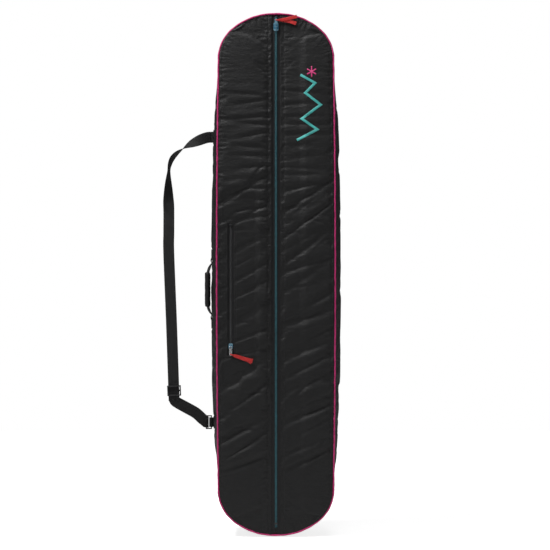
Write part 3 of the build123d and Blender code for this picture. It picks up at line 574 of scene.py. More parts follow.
def sheet_rows(step, least):
    """Heights of a sheet's rows, closer together towards the rounded ends."""
    end = math.acos(least / SHOULDER_HALF)
    arc = np.linspace(0, end, int(0.24 / step))[1:]
    rise = SHOULDER_Z + END_RISE * np.sin(arc)
    marks = [-SHOULDER_Z, POCKET_BOTTOM, POCKET_TOP, SHOULDER_Z]
    spans = []
    for low, high in zip(marks, marks[1:]):
        spans.append(np.linspace(low, high, int((high - low) / step), endpoint=False))
    return np.concatenate([-rise[::-1], *spans, [SHOULDER_Z], rise])


def mouth_gap(x, z):
    """Distance outside the pocket mouth."""
    dx = np.abs(x - POCKET_X) - POCKET_HALF
    dz = np.maximum(z - POCKET_TOP, POCKET_BOTTOM - z)
    return np.hypot(np.maximum(dx, 0), np.maximum(dz, 0)) + np.minimum(np.maximum(dx, dz), 0)


def front_height(x, z, side):
    """Height of a front half's cloth over its seam level: a shallow pillow that dips at every seam."""
    reach = reach_at(z)
    across = np.clip((np.abs(x) - 22 * MM) / np.maximum(reach - 24 * MM, 1 * MM), 0, 1)
    pillow = 3.4 * MM * np.sin(np.pi * across) ** 0.75 * smooth_step(reach, 0.03, 0.13)
    if side > 0:
        return pillow * (1 - 0.22 * smooth_step(-np.abs(x), -0.085, -0.05))
    calm = smooth_step(mouth_gap(x, z), 0, 0.05)
    swept = between(x, -0.14, -0.12, -0.07, -0.045) * between(z, -0.34, -0.26, 0.16, 0.24)
    return pillow * (0.25 + 0.75 * calm) * (1 - 0.25 * swept)


def clear_height(x, z, side):
    """How high the cloth may stand, lower where a ribbon pull sweeps over it."""
    if side > 0:
        return FREE_RISE - (FREE_RISE - MAIN_RISE) * smooth_step(-x, -90 * MM, -64 * MM)
    wide = between(x, -0.155, -0.140, -0.062, -0.045) * between(z, -0.30, -0.265, 0.215, 0.245)
    gap = x - POCKET_X
    hanging = between(gap, -0.034, -0.018, 0.018, 0.034) * between(z, -0.335, -0.305, 0.23, 0.26)
    return FREE_RISE - (FREE_RISE - POCKET_RISE) * np.maximum(wide, hanging)


def front_half(side, word):
    """One continuous front cloth: hem at the zip, pillowed field, pocket mouth and seam at the piping."""
    mouth_in, mouth_out = 122 * MM, 138 * MM
    inner_columns, mouth_columns = 28, 4
    z = sheet_rows(4 * MM, ZIP_EDGE + 5 * MM)
    reach = reach_at(z) - 1.7 * MM
    share = np.concatenate([np.linspace(ZIP_EDGE, mouth_in, inner_columns, endpoint=False),
                            np.linspace(mouth_in, mouth_out, mouth_columns, endpoint=False),
                            np.linspace(mouth_out, MID_HALF, 9)])
    spread = ZIP_EDGE + (reach[:, None] - ZIP_EDGE) * (share - ZIP_EDGE) / (MID_HALF - ZIP_EDGE)
    beyond = np.clip((share - mouth_out) / (MID_HALF - mouth_out), 0, 1)
    exact = share + (reach[:, None] - MID_HALF) * beyond
    mix = smooth_step(np.abs(z), 0.25, 0.6)[:, None]
    x = exact * (1 - mix) + spread * mix
    seam_h = -FRONT_Y
    height = seam_h + front_height(side * x, z[:, None], side)
    one = np.ones((len(z), 1))
    hem_x = one * [ZIP_EDGE + 0.9 * MM, ZIP_EDGE - 0.2 * MM]
    hem_h = one * [seam_h - 1.7 * MM, seam_h - 0.9 * MM]
    x = np.hstack([hem_x, x, reach[:, None] + 1.1 * MM])
    height = np.hstack([hem_h, height, one * (seam_h - 1.5 * MM)])
    points = stacked(side * x, -height, z[:, None])
    first = hem_x.shape[1] + inner_columns
    last = first + mouth_columns

    def in_mouth(r, c):
        return side < 0 and first <= c < last and POCKET_BOTTOM <= z[r] < POCKET_TOP - 1e-6

    faces = grid_faces(*x.shape, flip=side < 0, skip=in_mouth)
    piece = mesh_object("front_cloth_" + word, points, faces, points[:, [0, 2]])
    remove_loose(piece)
    start = points_of(piece)
    edge = np.abs(start[:, 0])
    pinned = (edge < ZIP_EDGE + 2 * MM) | (reach_at(start[:, 2]) - edge < 4 * MM)
    pinned |= np.abs(edge - ZIP_STITCH) < 2.2 * MM
    if side < 0:
        pinned |= mouth_gap(start[:, 0], start[:, 2]) < 3 * MM
    simulate_cloth(piece, pinned, 1.6, 0.035, 2.4 * MM)
    subdivide(piece)
    set_points(piece, folded_front(points_of(piece), side))
    return thicken(piece, 0.8 * MM)


def folded_front(shape, side):
    """A front half's points with its folds, stitch lines and height limits worked in."""
    x, z = shape[:, 0], shape[:, 2]
    edge = np.abs(x)
    seam_gap = reach_at(z) - edge
    room = np.minimum(np.minimum(edge - ZIP_EDGE, seam_gap), END_RISE + SHOULDER_Z - np.abs(z))
    if side < 0:
        room = np.minimum(room, np.maximum(mouth_gap(x, z), 0))
    lift = panel_wrinkles(shape[:, [0, 2]], side) * smooth_step(room, 0, 9 * MM)
    lift -= 0.9 * MM * groove(edge - ZIP_STITCH, 1.6 * MM)
    lift -= 0.7 * MM * groove(seam_gap - SEAM_STITCH, 1.6 * MM) * (np.abs(z) < 0.66)
    room_up = clear_height(x, z, side)
    rise = FRONT_Y - shape[:, 1]
    height = np.where(rise > 0, rise * room_up / FREE_RISE, rise) + lift
    height = soft_limit(height, 0.5 * room_up, 0.5 * room_up)
    height = np.where(room > 1 * MM, -soft_limit(-height, 0.3 * MM, 0.8 * MM), height)
    shape[:, 1] = FRONT_Y - height
    return shape


def remove_loose(piece):
    """Takes away points that no face uses."""
    work = bmesh.new()
    work.from_mesh(piece.data)
    loose = [v for v in work.verts if not v.link_faces]
    bmesh.ops.delete(work, geom=loose, context="VERTS")
    work.to_mesh(piece.data)
    work.free()


def gathered(pieces):
    """Points and faces of several pieces as one list each."""
    points = []
    faces = []
    for piece in pieces:
        faces.extend(shifted([p.vertices for p in piece.data.polygons], len(points)))
        points.extend(tuple(v.co) for v in piece.data.vertices)
    return points, faces


def surface_of(*pieces):
    """Ray-casting surface over the given pieces."""
    return BVHTree.FromPolygons(*gathered(pieces))


def land(surface, origin, direction, fallback):
    """Where a ray meets the surface, with its normal turned back towards the ray's start."""
    spot, normal, _, _ = surface.ray_cast(Vector(origin), Vector(direction))
    if spot is None:
        return np.array(fallback, float), -np.array(direction, float)
    normal = np.array(normal)
    if normal @ np.array(direction) > 0:
        normal = -normal
    return np.array(spot), normal


def on_front(surface, x, z):
    return land(surface, (x, -0.25, z), (0, 1, 0), (x, FRONT_Y, z))


def on_side(surface, height, z):
    return land(surface, (-0.3, -height, z), (1, 0, 0), (-0.18, -height, z))


def gusset():
    """The wall cloth right round the bag, blown out a little between its front and back seams."""
    outline = outline_points(5 * MM)
    loop, normal, length = outline
    share = np.linspace(0, 1, 25)
    front, back = -FRONT_Y - 1.9 * MM, 1.2 * MM
    bulge = np.sin(np.pi * share) ** 0.8
    offset = swell_at(loop[:, 1])[:, None] * bulge[None, :] - 1.2 * MM * (1 - bulge[None, :])
    piece = wall_sheet("gusset_cloth", outline, offset, back + (front - back) * share)
    start = points_of(piece)
    pinned = (-start[:, 1] > front - 8 * MM) | (-start[:, 1] < back + 5 * MM) | near_fixing(start)
    simulate_cloth(piece, pinned, 2.0, 0.02, 2.2 * MM)
    subdivide(piece)
    shape = points_of(piece)
    nearest = nearest_outline(shape, loop)
    flat = np.stack([length[nearest], -shape[:, 1]], 1)
    lift = np.zeros(len(shape))
    rng = np.random.default_rng(21)
    # Short puckers along either seam
    for at in np.arange(0, length[-1], 0.013):
        row = back + 0.014 if rng.random() < 0.5 else front - 0.014
        place = (at + rng.uniform(-0.005, 0.005), row)
        angle = (math.pi / 2 - 0.3, math.pi / 2 + 0.3)
        lift += random_fold(flat, rng, place, (0.02, 0.05), (0.003, 0.006), (0.2, 0.8), angle)
    # Longer folds in the middle
    for at in np.arange(0.03, length[-1], 0.055):
        place = (at + rng.uniform(-0.02, 0.02), rng.uniform(0.035, 0.085))
        lift += random_fold(flat, rng, place, (0.06, 0.13), (0.009, 0.016), (0.5, 1.5), (-0.5, 0.5))
    edge_room = np.minimum(flat[:, 1] - back, front - flat[:, 1])
    lift *= smooth_step(edge_room, 0, 9 * MM) * np.where(near_fixing(shape), 0.25, 1)
    lift -= 0.8 * MM * groove(edge_room - 6 * MM, 1.4 * MM)
    out = normal[nearest]
    offset = ((shape[:, [0, 2]] - loop[nearest]) * out).sum(1)
    under_bead = -0.6 * MM + 0.6 * np.maximum(front - flat[:, 1], 0)
    shape[:, [0, 2]] += out * (np.minimum(offset + lift, under_bead) - offset)[:, None]
    set_points(piece, shape)
    return thicken(piece, 1.0 * MM)


def near_fixing(points):
    """True where a handle end or strap end is sewn on the left wall."""
    margin = 5 * MM
    close = np.zeros(len(points), bool)
    for _, node, *_ in FIXINGS:
        low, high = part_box(node)
        inside = (points[:, 2] > low[2] - margin) & (points[:, 2] < high[2] + margin)
        close |= inside & (points[:, 1] > low[1] - margin) & (points[:, 1] < high[1] + margin)
    return close & (points[:, 0] < -0.12)


def full_sheet(name, inset, height_at, seed, folds, tall, flip):
    """A sheet filling the outline, with soft random folds; height_at gives its height from the room left."""
    z = sheet_rows(6 * MM, 14 * MM)
    z = z[np.abs(z) < SHOULDER_Z + END_RISE - inset * 1.02]
    reach = np.maximum(reach_at(z) - inset, 6 * MM)
    u = np.linspace(-1, 1, 57)
    points = stacked(reach[:, None] * u, 0.0, z[:, None])
    piece = mesh_object(name, points, grid_faces(len(z), len(u), flip=flip), points[:, [0, 2]])
    subdivide(piece)
    shape = points_of(piece)
    room = np.minimum(reach_at(shape[:, 2]) - inset - np.abs(shape[:, 0]), 0.74 - np.abs(shape[:, 2]))
    room = np.maximum(room, 0)
    rng = np.random.default_rng(seed)
    lift = np.zeros(len(shape))
    for _ in range(folds):
        place = (rng.uniform(-0.15, 0.15), rng.uniform(-0.7, 0.7))
        size = ((0.08, 0.22), (0.010, 0.022), (0.3 * tall, 1.0 * tall))
        lift += random_fold(shape[:, [0, 2]], rng, place, *size, (-0.7, 0.7))
    shape[:, 1] = -(height_at(room) + lift * smooth_step(room, 0, 0.03))
    set_points(piece, shape)
    return piece


def wall_lining():
    """Lining of the side and end walls, loose over the foam."""
    outline = outline_points(8 * MM)
    loop, _, length = outline
    share = np.linspace(0, 1, 17)
    back, front = 7.5 * MM, 116.8 * MM
    wave = 1.0 * MM * np.sin(length / 0.031) + 0.7 * MM * np.sin(length / 0.013 + 1)
    bulge = np.sin(np.pi * share)[None, :]
    offset = swell_at(loop[:, 1])[:, None] * bulge * 0.85 - 8.5 * MM + wave[:, None] * bulge
    depth = back + (front - back) * share
    return subdivide(wall_sheet("wall_lining_cloth", outline, offset, depth, flip=True))


def flap_lining(side, word):
    """Lining under a flap: from the zip tape to just inside the fold, hanging slightly loose."""
    z = sheet_rows(8 * MM, 60 * MM)
    z = z[np.abs(z) < SEWN_Z]
    inner, outer = 22 * MM, np.minimum(reach_at(z) - 14 * MM, FOLD_X)
    u = np.linspace(0, 1, 21)
    row = z[:, None]
    sag = np.sin(np.pi * u) ** 0.35 * smooth_step(SEWN_Z - np.abs(row), 0, 0.08)
    wave = 0.9 * MM * np.sin(row / 0.021 + 9 * u) + 0.7 * MM * np.sin(row / 0.009 - 5 * u)
    height = 118.2 * MM - (6.6 * MM + 0.6 * wave) * sag
    points = stacked(side * (inner + (outer[:, None] - inner) * u), -height, row)
    faces = grid_faces(len(z), len(u), flip=side > 0)
    return subdivide(mesh_object("flap_lining_cloth_" + word, points, faces, points[:, [0, 2]]))


def pocket_pouch():
    """Flat pouch behind the pocket zip."""
    low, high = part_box("pocket_bag")
    x = np.linspace(low[0], high[0], 31)
    z = np.linspace(low[2], high[2], 101)
    u = (x - low[0]) / (high[0] - low[0])
    v = (z - low[2])[:, None] / (high[2] - low[2])
    puff = (np.sin(np.pi * u) * np.sin(np.pi * v)) ** 0.2
    wave = 0.15 * MM * np.sin(z[:, None] / 0.017 + 5 * u)
    back = 117.4 * MM - (5.2 * MM + wave) * puff
    front = np.full_like(back, 117.5 * MM)
    points = np.concatenate([stacked(x, -height, z[:, None]) for height in (front, back)])
    faces = grid_faces(len(z), len(x))
    faces += shifted([face[::-1] for face in faces], back.size)
    piece = mesh_object("pocket_pouch", points, faces, points[:, [0, 2]])
    finish(piece, LINING, "lining_cloth", "pocket_bag", body="left_flap")


# Swept and sewn pieces

def resample(path, step):
    """Evenly spaced points along a polyline."""
    path = np.asarray(path, float)
    run = run_length(path)
    at = np.arange(step / 2, run[-1], step)
    return np.stack([np.interp(at, run, column) for column in path.T], 1)


def smooth_path(stations, step):
    """Catmull-Rom curve through rows of numbers, resampled about evenly by their first three values."""
    stations = np.asarray(stations, float)
    padded = np.concatenate([[2 * stations[0] - stations[1]], stations, [2 * stations[-1] - stations[-2]]])
    rows = []
    for k in range(1, len(padded) - 2):
        p0, p1, p2, p3 = padded[k - 1:k + 3]
        count = max(2, int(np.linalg.norm((p2 - p1)[:3]) / step))
        for t in np.linspace(0, 1, count, endpoint=False):
            rows.append(0.5 * (2 * p1 + (p2 - p0) * t + (2 * p0 - 5 * p1 + 4 * p2 - p3) * t ** 2
                               + (3 * p1 - p0 - 3 * p2 + p3) * t ** 3))
    rows.append(padded[-2])
    return np.array(rows)


def capsules(starts, ends, normals, width, height, sides=6):
    """Small rounded rods: points and faces for threads and coil rungs."""
    points = []
    faces = []
    sections = ((0.0, 0.15), (0.12, 0.8), (0.5, 1.0), (0.88, 0.8), (1.0, 0.15))
    for start, end, normal in zip(starts, ends, normals):
        run = end - start
        across = np.cross(run, normal)
        across = across / max(np.linalg.norm(across), 1e-9)
        up = np.cross(across, run)
        up = up / max(np.linalg.norm(up), 1e-9)
        faces.extend(shifted(tube_faces(len(sections), sides, turned=True), len(points)))
        for share, size in sections:
            centre = start + run * share
            for k in range(sides):
                turn = 2 * math.pi * k / sides
                wide, tall = width * size * math.cos(turn), height * size * math.sin(turn)
                points.append(centre + across * wide + up * tall)
    return points, faces


def stitching(name, lines, place, pitch=4.2 * MM, length=3.0 * MM, thick=0.34 * MM):
    """Rows of thread stitches along 2-D lines; place puts a 2-D point on the cloth."""
    points = []
    faces = []
    for line in lines:
        spots = resample(line, pitch)
        ends = []
        for spot, run in zip(spots, unit_rows(np.gradient(spots, axis=0))):
            first, normal = place(*(spot - run * length / 2))
            last, _ = place(*(spot + run * length / 2))
            ends.append((first + normal * thick * 0.3, last + normal * thick * 0.3, normal))
        more, rods = capsules(*zip(*ends), thick, thick)
        faces.extend(shifted(rods, len(points)))
        points.extend(more)
    uvs = [(p[0] + p[1], p[2]) for p in points]
    return mesh_object(name, points, faces, uvs)


def band(name, centres, across, widths, thick):
    """Webbing or ribbon swept along a path: rounded selvedges, flat faces, closed ends."""
    centres = np.asarray(centres, float)
    widths = np.broadcast_to(widths, len(centres))
    ahead = unit_rows(np.gradient(centres, axis=0))
    across = np.broadcast_to(np.asarray(across, float), centres.shape)
    across = unit_rows(across - ahead * np.sum(across * ahead, 1)[:, None])
    normal = np.cross(ahead, across)
    left = [(-0.5, 0.0), (-0.485, 0.4), (-0.44, 0.5), (-0.22, 0.47)]
    top = left + [(0, 0.5)] + [(-u, v) for u, v in left[:0:-1]]
    profile = top + [(-u, -v) for u, v in top]
    points = []
    uvs = []
    for k, run in enumerate(run_length(centres)):
        for u, v in profile:
            points.append(centres[k] + across[k] * u * widths[k] + normal[k] * v * thick)
            uvs.append((u * widths[k], run))
    return mesh_object(name, points, tube_faces(len(centres), len(profile)), uvs)


def piping():
    """Corded piping round the front seam, with the seam allowance it is sewn through."""
    outline = outline_points(4 * MM)
    length = outline[2][:, None]
    radius, centre_h = 2.25 * MM, 120.1 * MM
    turns = np.linspace(0, 2 * math.pi, 12, endpoint=False)
    cord = [(radius * math.cos(t), radius * math.sin(t)) for t in turns]
    sewn, cut, under = -2.4 * MM, -8.5 * MM, -2.5 * MM
    allowance = [(sewn, -1.8 * MM), (cut, -1.85 * MM), (cut, under), (sewn, under)]
    out, up = np.array(cord[:8] + allowance + cord[9:]).T
    wobble = 0.25 * MM * np.sin(length / 0.017) + 0.2 * MM * np.sin(length / 0.006 + 2)
    grow = np.where(out > -3 * MM, 1 + 0.06 * np.sin(length / 0.004), 1)
    offset = out * grow + wobble
    return wall_sheet("piping_cord", outline, offset, centre_h + up, stacked(out, length), wrap_cols=True)


# Zips

def zip_tape(name, axis_x, side, low, high, edge):
    """Woven zip tape: one long strip with slightly wavy edges, meeting past the ends of the coil."""
    z = np.linspace(low, high, int((high - low) / (4 * MM)))
    across = np.array([1.0 * MM, 2.4 * MM, 4.2 * MM, 0.5 * (4 * MM + edge), edge - 1 * MM, edge])
    x = np.repeat(across[None, :], len(z), 0)
    x[np.abs(z) > 0.73, 0] = 0.1 * MM
    height = 118.5 * MM + 0.12 * MM * np.sin(z / 0.011)[:, None] * np.linspace(0, 1, len(across))
    points = stacked(axis_x + side * x, -height, z[:, None])
    faces = grid_faces(len(z), len(across), flip=side < 0)
    piece = mesh_object(name, points, faces, points[:, [0, 2]])
    return thicken(piece, 0.9 * MM)


def zip_coil(name, axis_x, side, low, high, rung_h, pitch):
    """Half of a zip coil: bent rungs over a cord, evenly pitched and staggered with the other half."""
    inner, outer = 0.3 * MM, 3.2 * MM
    z = np.arange(low + (pitch / 2 if side > 0 else 0), high, pitch)
    starts = stacked(axis_x + side * inner, -rung_h, z)
    ends = stacked(axis_x + side * outer, -rung_h + 0.35 * MM, z + pitch * 0.12)
    points, faces = capsules(starts, ends, np.repeat([[0.0, -1.0, 0.0]], len(z), 0), pitch * 0.36, 0.75 * MM)
    middle = axis_x + side * (inner + outer + 0.4 * MM) / 2
    cord_z = np.linspace(low, high, int((high - low) / (8 * MM)))[:, None]
    turn = 2 * math.pi * np.arange(6) / 6
    cord_y = -(rung_h - 0.5 * MM) + 0.7 * MM * np.sin(turn)
    faces += shifted(grid_faces(len(cord_z), len(turn), wrap_cols=True), len(points))
    points += list(stacked(middle + 1.05 * MM * np.cos(turn), cord_y, cord_z))
    return mesh_object(name, points, faces, front_uvs(points))


def zips():
    """Main zip tapes and coils for both halves; the pocket zip rides on the left flap."""
    overrun = 6 * MM
    main_rung_h, pocket_rung_h = 120.3 * MM, 118.4 * MM
    low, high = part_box("main_tape_bottom")[0][2] - overrun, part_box("main_tape_top")[1][2] + overrun
    coil_low, coil_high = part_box("main_coil_bottom")[0][2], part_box("main_coil_top")[1][2]
    for side, word in SIDES:
        tape = zip_tape("zip_tape_" + word, 0, side, low, high, 20 * MM)
        finish(tape, TAPE, "zip_tape", "main_tape_" + word, "main_tape_top", "main_tape_bottom", flap=side)
        coil = zip_coil("zip_coil_" + word, 0, side, coil_low, coil_high, main_rung_h, 1.9 * MM)
        finish(coil, COIL, "teal_coil", "main_coil_" + word, "main_coil_top", "main_coil_bottom", flap=side)
        node = "pocket_tape_" + word
        ends = [corner[2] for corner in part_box(node)]
        tape = zip_tape("pocket_tape_cloth_" + word, POCKET_X, side, *ends, 17 * MM)
        finish(tape, TAPE, "zip_tape", node, body="left_flap")
        node = "pocket_coil_" + word
        ends = [corner[2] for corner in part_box(node)]
        coil = zip_coil("pocket_coil_rungs_" + word, POCKET_X, side, *ends, pocket_rung_h, 1.7 * MM)
        finish(coil, PLASTIC, "black_coil", node, body="left_flap")


# Ribbon pulls in mm from the tab's eye: run, offset, height over the eye, width
EYE_TURN = [
    (2, 0, 1.75, 3.4), (-0.6, 0, 1.4, 3.2), (-1.1, 0, 0, 3.2), (-0.6, 0, -1.4, 3.2), (2, 0, -1.75, 3.4),
]
MAIN_PULL = [
    (60, 10, 0.9, 10), (46, 6.5, 0.6, 9.5), (30, 2.6, 0.6, 9), (15, 0.6, 0.6, 8), (6, 0.1, 1.5, 4), *EYE_TURN,
    (6, -0.1, -1.5, 4), (15, -0.6, -0.6, 8), (30, -2.6, -0.6, 9), (46, -6.5, -0.6, 9.5), (58, -10, -0.9, 10),
]
POCKET_PULL = [
    (66, 1.5, 0.6, 13), (52, 0.9, 0.55, 10), (30, 0.5, 0.55, 9.4), (14, 0.2, 0.6, 8.6), (6, 0.1, 1.5, 4),
    *EYE_TURN, (6, -0.1, -1.3, 4), (14, -0.3, -0.45, 8.6), (30, -0.6, -0.45, 9.4), (52, -1.2, -0.45, 10),
    (64, -2.0, -0.5, 14),
]


def pull_ribbon(name, eye, heading, stations, node, body):
    """Ribbon folded through a tab's eye, with both ends free."""
    rows = smooth_path(np.array(stations) * MM, 1.5 * MM)
    run, offset, height = rows[:, 0], rows[:, 1], rows[:, 2]
    ahead = np.array([math.cos(heading), 0, math.sin(heading)])
    aside = np.array([-math.sin(heading), 0, math.cos(heading)])
    height = height + 0.1 * MM * np.sin(run / 0.004) * np.clip(run / 0.02, 0, 1)
    out = np.array([0, -1.0, 0])
    centres = np.array(eye) + run[:, None] * ahead + offset[:, None] * aside + height[:, None] * out
    slope = np.abs(np.gradient(offset)) / np.maximum(np.abs(np.gradient(run)), 1e-5)
    slope = np.clip(slope, 0, 0.5) * np.sign(offset + 1e-12) * (run > 0.008)
    piece = band(name, centres, aside - ahead * slope[:, None], rows[:, 3], 0.9 * MM)
    finish(piece, RIBBON, "ribbon", node, body=body)


def pulls():
    eye = (0.0, -125.1 * MM, 729 * MM)
    pull_ribbon("main_pull_ribbon", eye, 0.0, MAIN_PULL, "main_pull", "zip_pull")
    eye = (POCKET_X, -123.1 * MM, -229 * MM)
    heading = math.radians(-18)
    pull_ribbon("pocket_pull_ribbon", eye, heading, POCKET_PULL, "pocket_pull", "pocket_zip_pull")


# Side fittings

# Webbing ends sewn on the left wall: piece, model node, lower and upper end, height over the back, width
FIXINGS = [
    ("handle_end_upper", "handle_anchor_upper", 0.041, 0.073, HANDLE_H, 25 * MM),
    ("handle_end_lower", "handle_anchor_lower", -0.157, -0.125, HANDLE_H, 25 * MM),
    ("strap_end_patch", "strap_anchor", 0.380, 0.420, STRAP_H, 30 * MM),
    ("ring_tab_patch", "strap_ring_tab", -0.447, -0.413, STRAP_H, 30 * MM),
]


def side_patch(name, surface, node, low, high, height, width):
    """A webbing end laid on the side wall."""
    spots = [on_side(surface, height, z) for z in np.arange(low, high + 1e-6, 2 * MM)]
    centres = [spot + normal * PATCH_THICK * 0.45 for spot, normal in spots]
    piece = band(name, centres, (0, -1, 0), width, PATCH_THICK)
    return finish(piece, WEBBING, "webbing", node, body="bag")


def box_cross(low, high, height, width):
    """Sewing pattern of a webbing end: a box with a cross, as lines of (height, z)."""
    a, b = height - width / 2 + 3 * MM, height + width / 2 - 3 * MM
    c, d = low + 3.5 * MM, high - 3.5 * MM
    return [[(a, c), (b, c), (b, d), (a, d), (a, c)], [(a, c), (b, d)], [(b, c), (a, d)]]


def side_fittings(wall):
    """Handle and strap ends on the left wall, the handle, the strap and its loop."""
    surface = surface_of(wall)
    patches = []
    lines = []
    for name, node, *place in FIXINGS:
        patches.append(side_patch(name, surface, node, *place))
        lines += box_cross(*place)
    sewn = surface_of(*patches)
    sizes = (2.6 * MM, 1.9 * MM, 0.3 * MM)
    thread = stitching("side_stitching", lines, lambda h, z: on_side(sewn, h, z), *sizes)
    finish(thread, THREAD, "webbing", body="bag")
    strap_z = 0.400
    root_x = on_side(surface, STRAP_H, strap_z)[0][0] + 0.5 * MM
    path = [(x, -STRAP_H, strap_z) for x in (root_x, -0.183, -0.1887)]
    root = band("strap_end_stub", path, (0, 0, 1), 32 * MM, 1.8 * MM)
    finish(root, WEBBING, "webbing", "strap_anchor", body="bag")
    ring_loop(on_side(surface, STRAP_H, RING_Z)[0][0] + 0.5 * MM)
    handle(on_side(sewn, HANDLE_H, 0.046)[0][0], on_side(sewn, HANDLE_H, -0.130)[0][0])
    shoulder_strap()


def ring_loop(root_x):
    """Short webbing loop that holds the strap's ring."""
    ring_x, radius = -0.188, 3.15 * MM
    hoop = []
    for turn in np.linspace(0.35, 2 * math.pi - 0.35, 20):
        reach = radius if math.cos(turn) > 0 else 6.2 * MM
        hoop.append((ring_x + reach * math.cos(turn), -(STRAP_H + radius * math.sin(turn)), RING_Z))
    path = [(root_x, -(STRAP_H + 0.9 * MM), RING_Z), (ring_x + 4 * MM, -(STRAP_H + 0.95 * MM), RING_Z)]
    path = path + hoop + [(x, -2 * STRAP_H - y, z) for x, y, z in reversed(path)]
    tab = band("ring_tab_loop", path, (0, 0, 1), 28 * MM, 1.3 * MM)
    finish(tab, WEBBING, "webbing", "strap_ring_tab", body="bag")


def handle(upper_x, lower_x):
    """Carry handle: folded webbing, bending at its sewn roots, through a padded, puckered sleeve."""
    rows = [
        (upper_x - 0.3 * MM, 0.047), (upper_x - 1.2 * MM, 0.040), (-0.1870, 0.033), (-0.1915, 0.025),
        (-0.1962, 0.013), (-0.198, 0.0), (HANDLE_X, -0.043), (-0.198, -0.086), (-0.1962, -0.099),
        (-0.1915, -0.110), (-0.1870, -0.117), (lower_x - 1.2 * MM, -0.124), (lower_x - 0.3 * MM, -0.131),
    ]
    path = smooth_path([(x, -HANDLE_H, z) for x, z in rows], 2 * MM)
    room = np.minimum(path[0, 2] - path[:, 2], path[:, 2] - path[-1, 2])
    free = smooth_step(room, 8 * MM, 30 * MM)
    turned = np.stack([0.5 * free, -np.sqrt(1 - (0.5 * free) ** 2), np.zeros(len(path))], 1)
    web = band("handle_web", path, turned, 19 * MM - 4 * MM * free, 2.6 * MM)
    finish(web, WEBBING, "webbing", "handle_webbing")
    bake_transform(web)
    low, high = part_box("handle_grip")
    share = np.linspace(0, 1, 64)[:, None]
    turn = 2 * math.pi * np.arange(40) / 40
    length_mm = 101
    near_end = np.minimum(share, 1 - share) * length_mm
    size = np.where(near_end > 0.01, 0.72 + 0.28 * (1 - np.exp(-near_end / 3.2)), 0.55)
    size = size + 0.015 * np.sin(share * 23) + 0.012 * np.sin(share * 61 + 1)
    pucker = 1 + 0.045 * np.cos(9 * turn + 2 * share) * np.exp(-near_end / 9)
    crease = 1 + 0.02 * np.sin(5 * turn + share * 17)
    grow = size * pucker * crease * (1 - 0.05 * groove(turn - 0.6, 0.09))
    x = HANDLE_X + 8.2 * MM * grow * np.cos(turn)
    y = -HANDLE_H + 9.2 * MM * grow * np.sin(turn)
    z = low[2] + (high[2] - low[2]) * share
    grip = mesh_object("handle_sleeve", stacked(x, y, z), tube_faces(*x.shape), stacked(turn * 8.5 * MM, z))
    finish(grip, GRIP, "shell_cloth", "handle_grip", body="handle")


# Strap stations: x and z in mm, heading and twist in degrees, height over the back in mm
STRAP_ROWS = [
    (-188.4, 400, 180, 0, 57.5), (-198, 399.4, 182, 1, 58.2), (-210, 396, 188, 5, 59.6),
    (-225, 390, 197, 15, 60.8), (-245, 381, 204, 40, 60.8), (-260, 373, 209, 65, 60.8),
    (-275, 363, 212, 90, 60.8), (-290, 352, 222, 105, 60.8), (-302, 338, 240, 110, 60.8),
    (-309, 321, 255, 105, 60.8), (-312, 300, 266, 100, 60.8), (-313, 262, 269, 125, 60.8),
    (-313, 225, 270, 152, 60.8), (-312, 188, 270, 180, 60.8), (-312, 120, 270, 180, 60.8),
    (-312, 60, 271, 180, 60.8), (-304, -146, 272.2, 180, 60.8), (-297, -352, 272.2, 180, 60.8),
    (-296.7, -358, 276, 180, 60.8), (-296, -362.6, 287, 180, 60.8), (-294.6, -366.5, 302, 180, 60.8),
    (-291.9, -369.7, 317, 180, 60.8), (-288.5, -372.1, 331, 180, 60.8), (-266, -384, 332, 180, 60.8),
    (-234, -402, 333, 180, 60.8), (-216, -418, 343, 180, 60.8), (-203, -430, 360, 180, 60.8),
]
STRAP_BACK = [
    (-203, -430, 360, 180, 54.2), (-216, -420, 343, 180, 54.2), (-234, -404, 333, 180, 54.2),
    (-266, -386, 332, 180, 54.4), (-287, -374, 330, 180, 55.5),
]


def strap_frames(rows):
    """Centres and width directions along the strap from its stations."""
    ordered = [(x * MM, -h * MM, z * MM, heading, twist) for x, z, heading, twist, h in rows]
    dense = smooth_path(ordered, 4 * MM)
    heading, twist = np.radians(dense[:, 3:]).T
    across = np.stack([-np.sin(heading) * np.cos(twist), -np.sin(twist), np.cos(heading) * np.cos(twist)], 1)
    return dense[:, :3], across


def shoulder_strap():
    """Shoulder strap from its sewn end, twisting down the side and back through the loop."""
    centres, across = strap_frames(STRAP_ROWS)
    run = run_length(centres)
    loose = between(centres[:, 2], 0.07, 0.14, 0.33, 0.385)
    centres[:, 1] += loose * (1.2 * MM * np.sin(run / 0.022) + 0.6 * MM * np.sin(run / 0.009))
    turns = np.radians([20, 50, 80, 110, 140, 165])
    bend = stacked(-0.203 + 6.4 * MM * np.sin(turns), -(STRAP_H + 3.3 * MM * np.cos(turns)), RING_Z)
    back, back_across = strap_frames(STRAP_BACK)
    across = np.concatenate([across, np.repeat(across[-1:], len(turns), 0), back_across])
    strap = band("strap_webbing", np.concatenate([centres, bend, back]), across, 32 * MM, 1.8 * MM)
    finish(strap, WEBBING, "webbing", "shoulder_strap", body="strap")


# Prints and front stitching

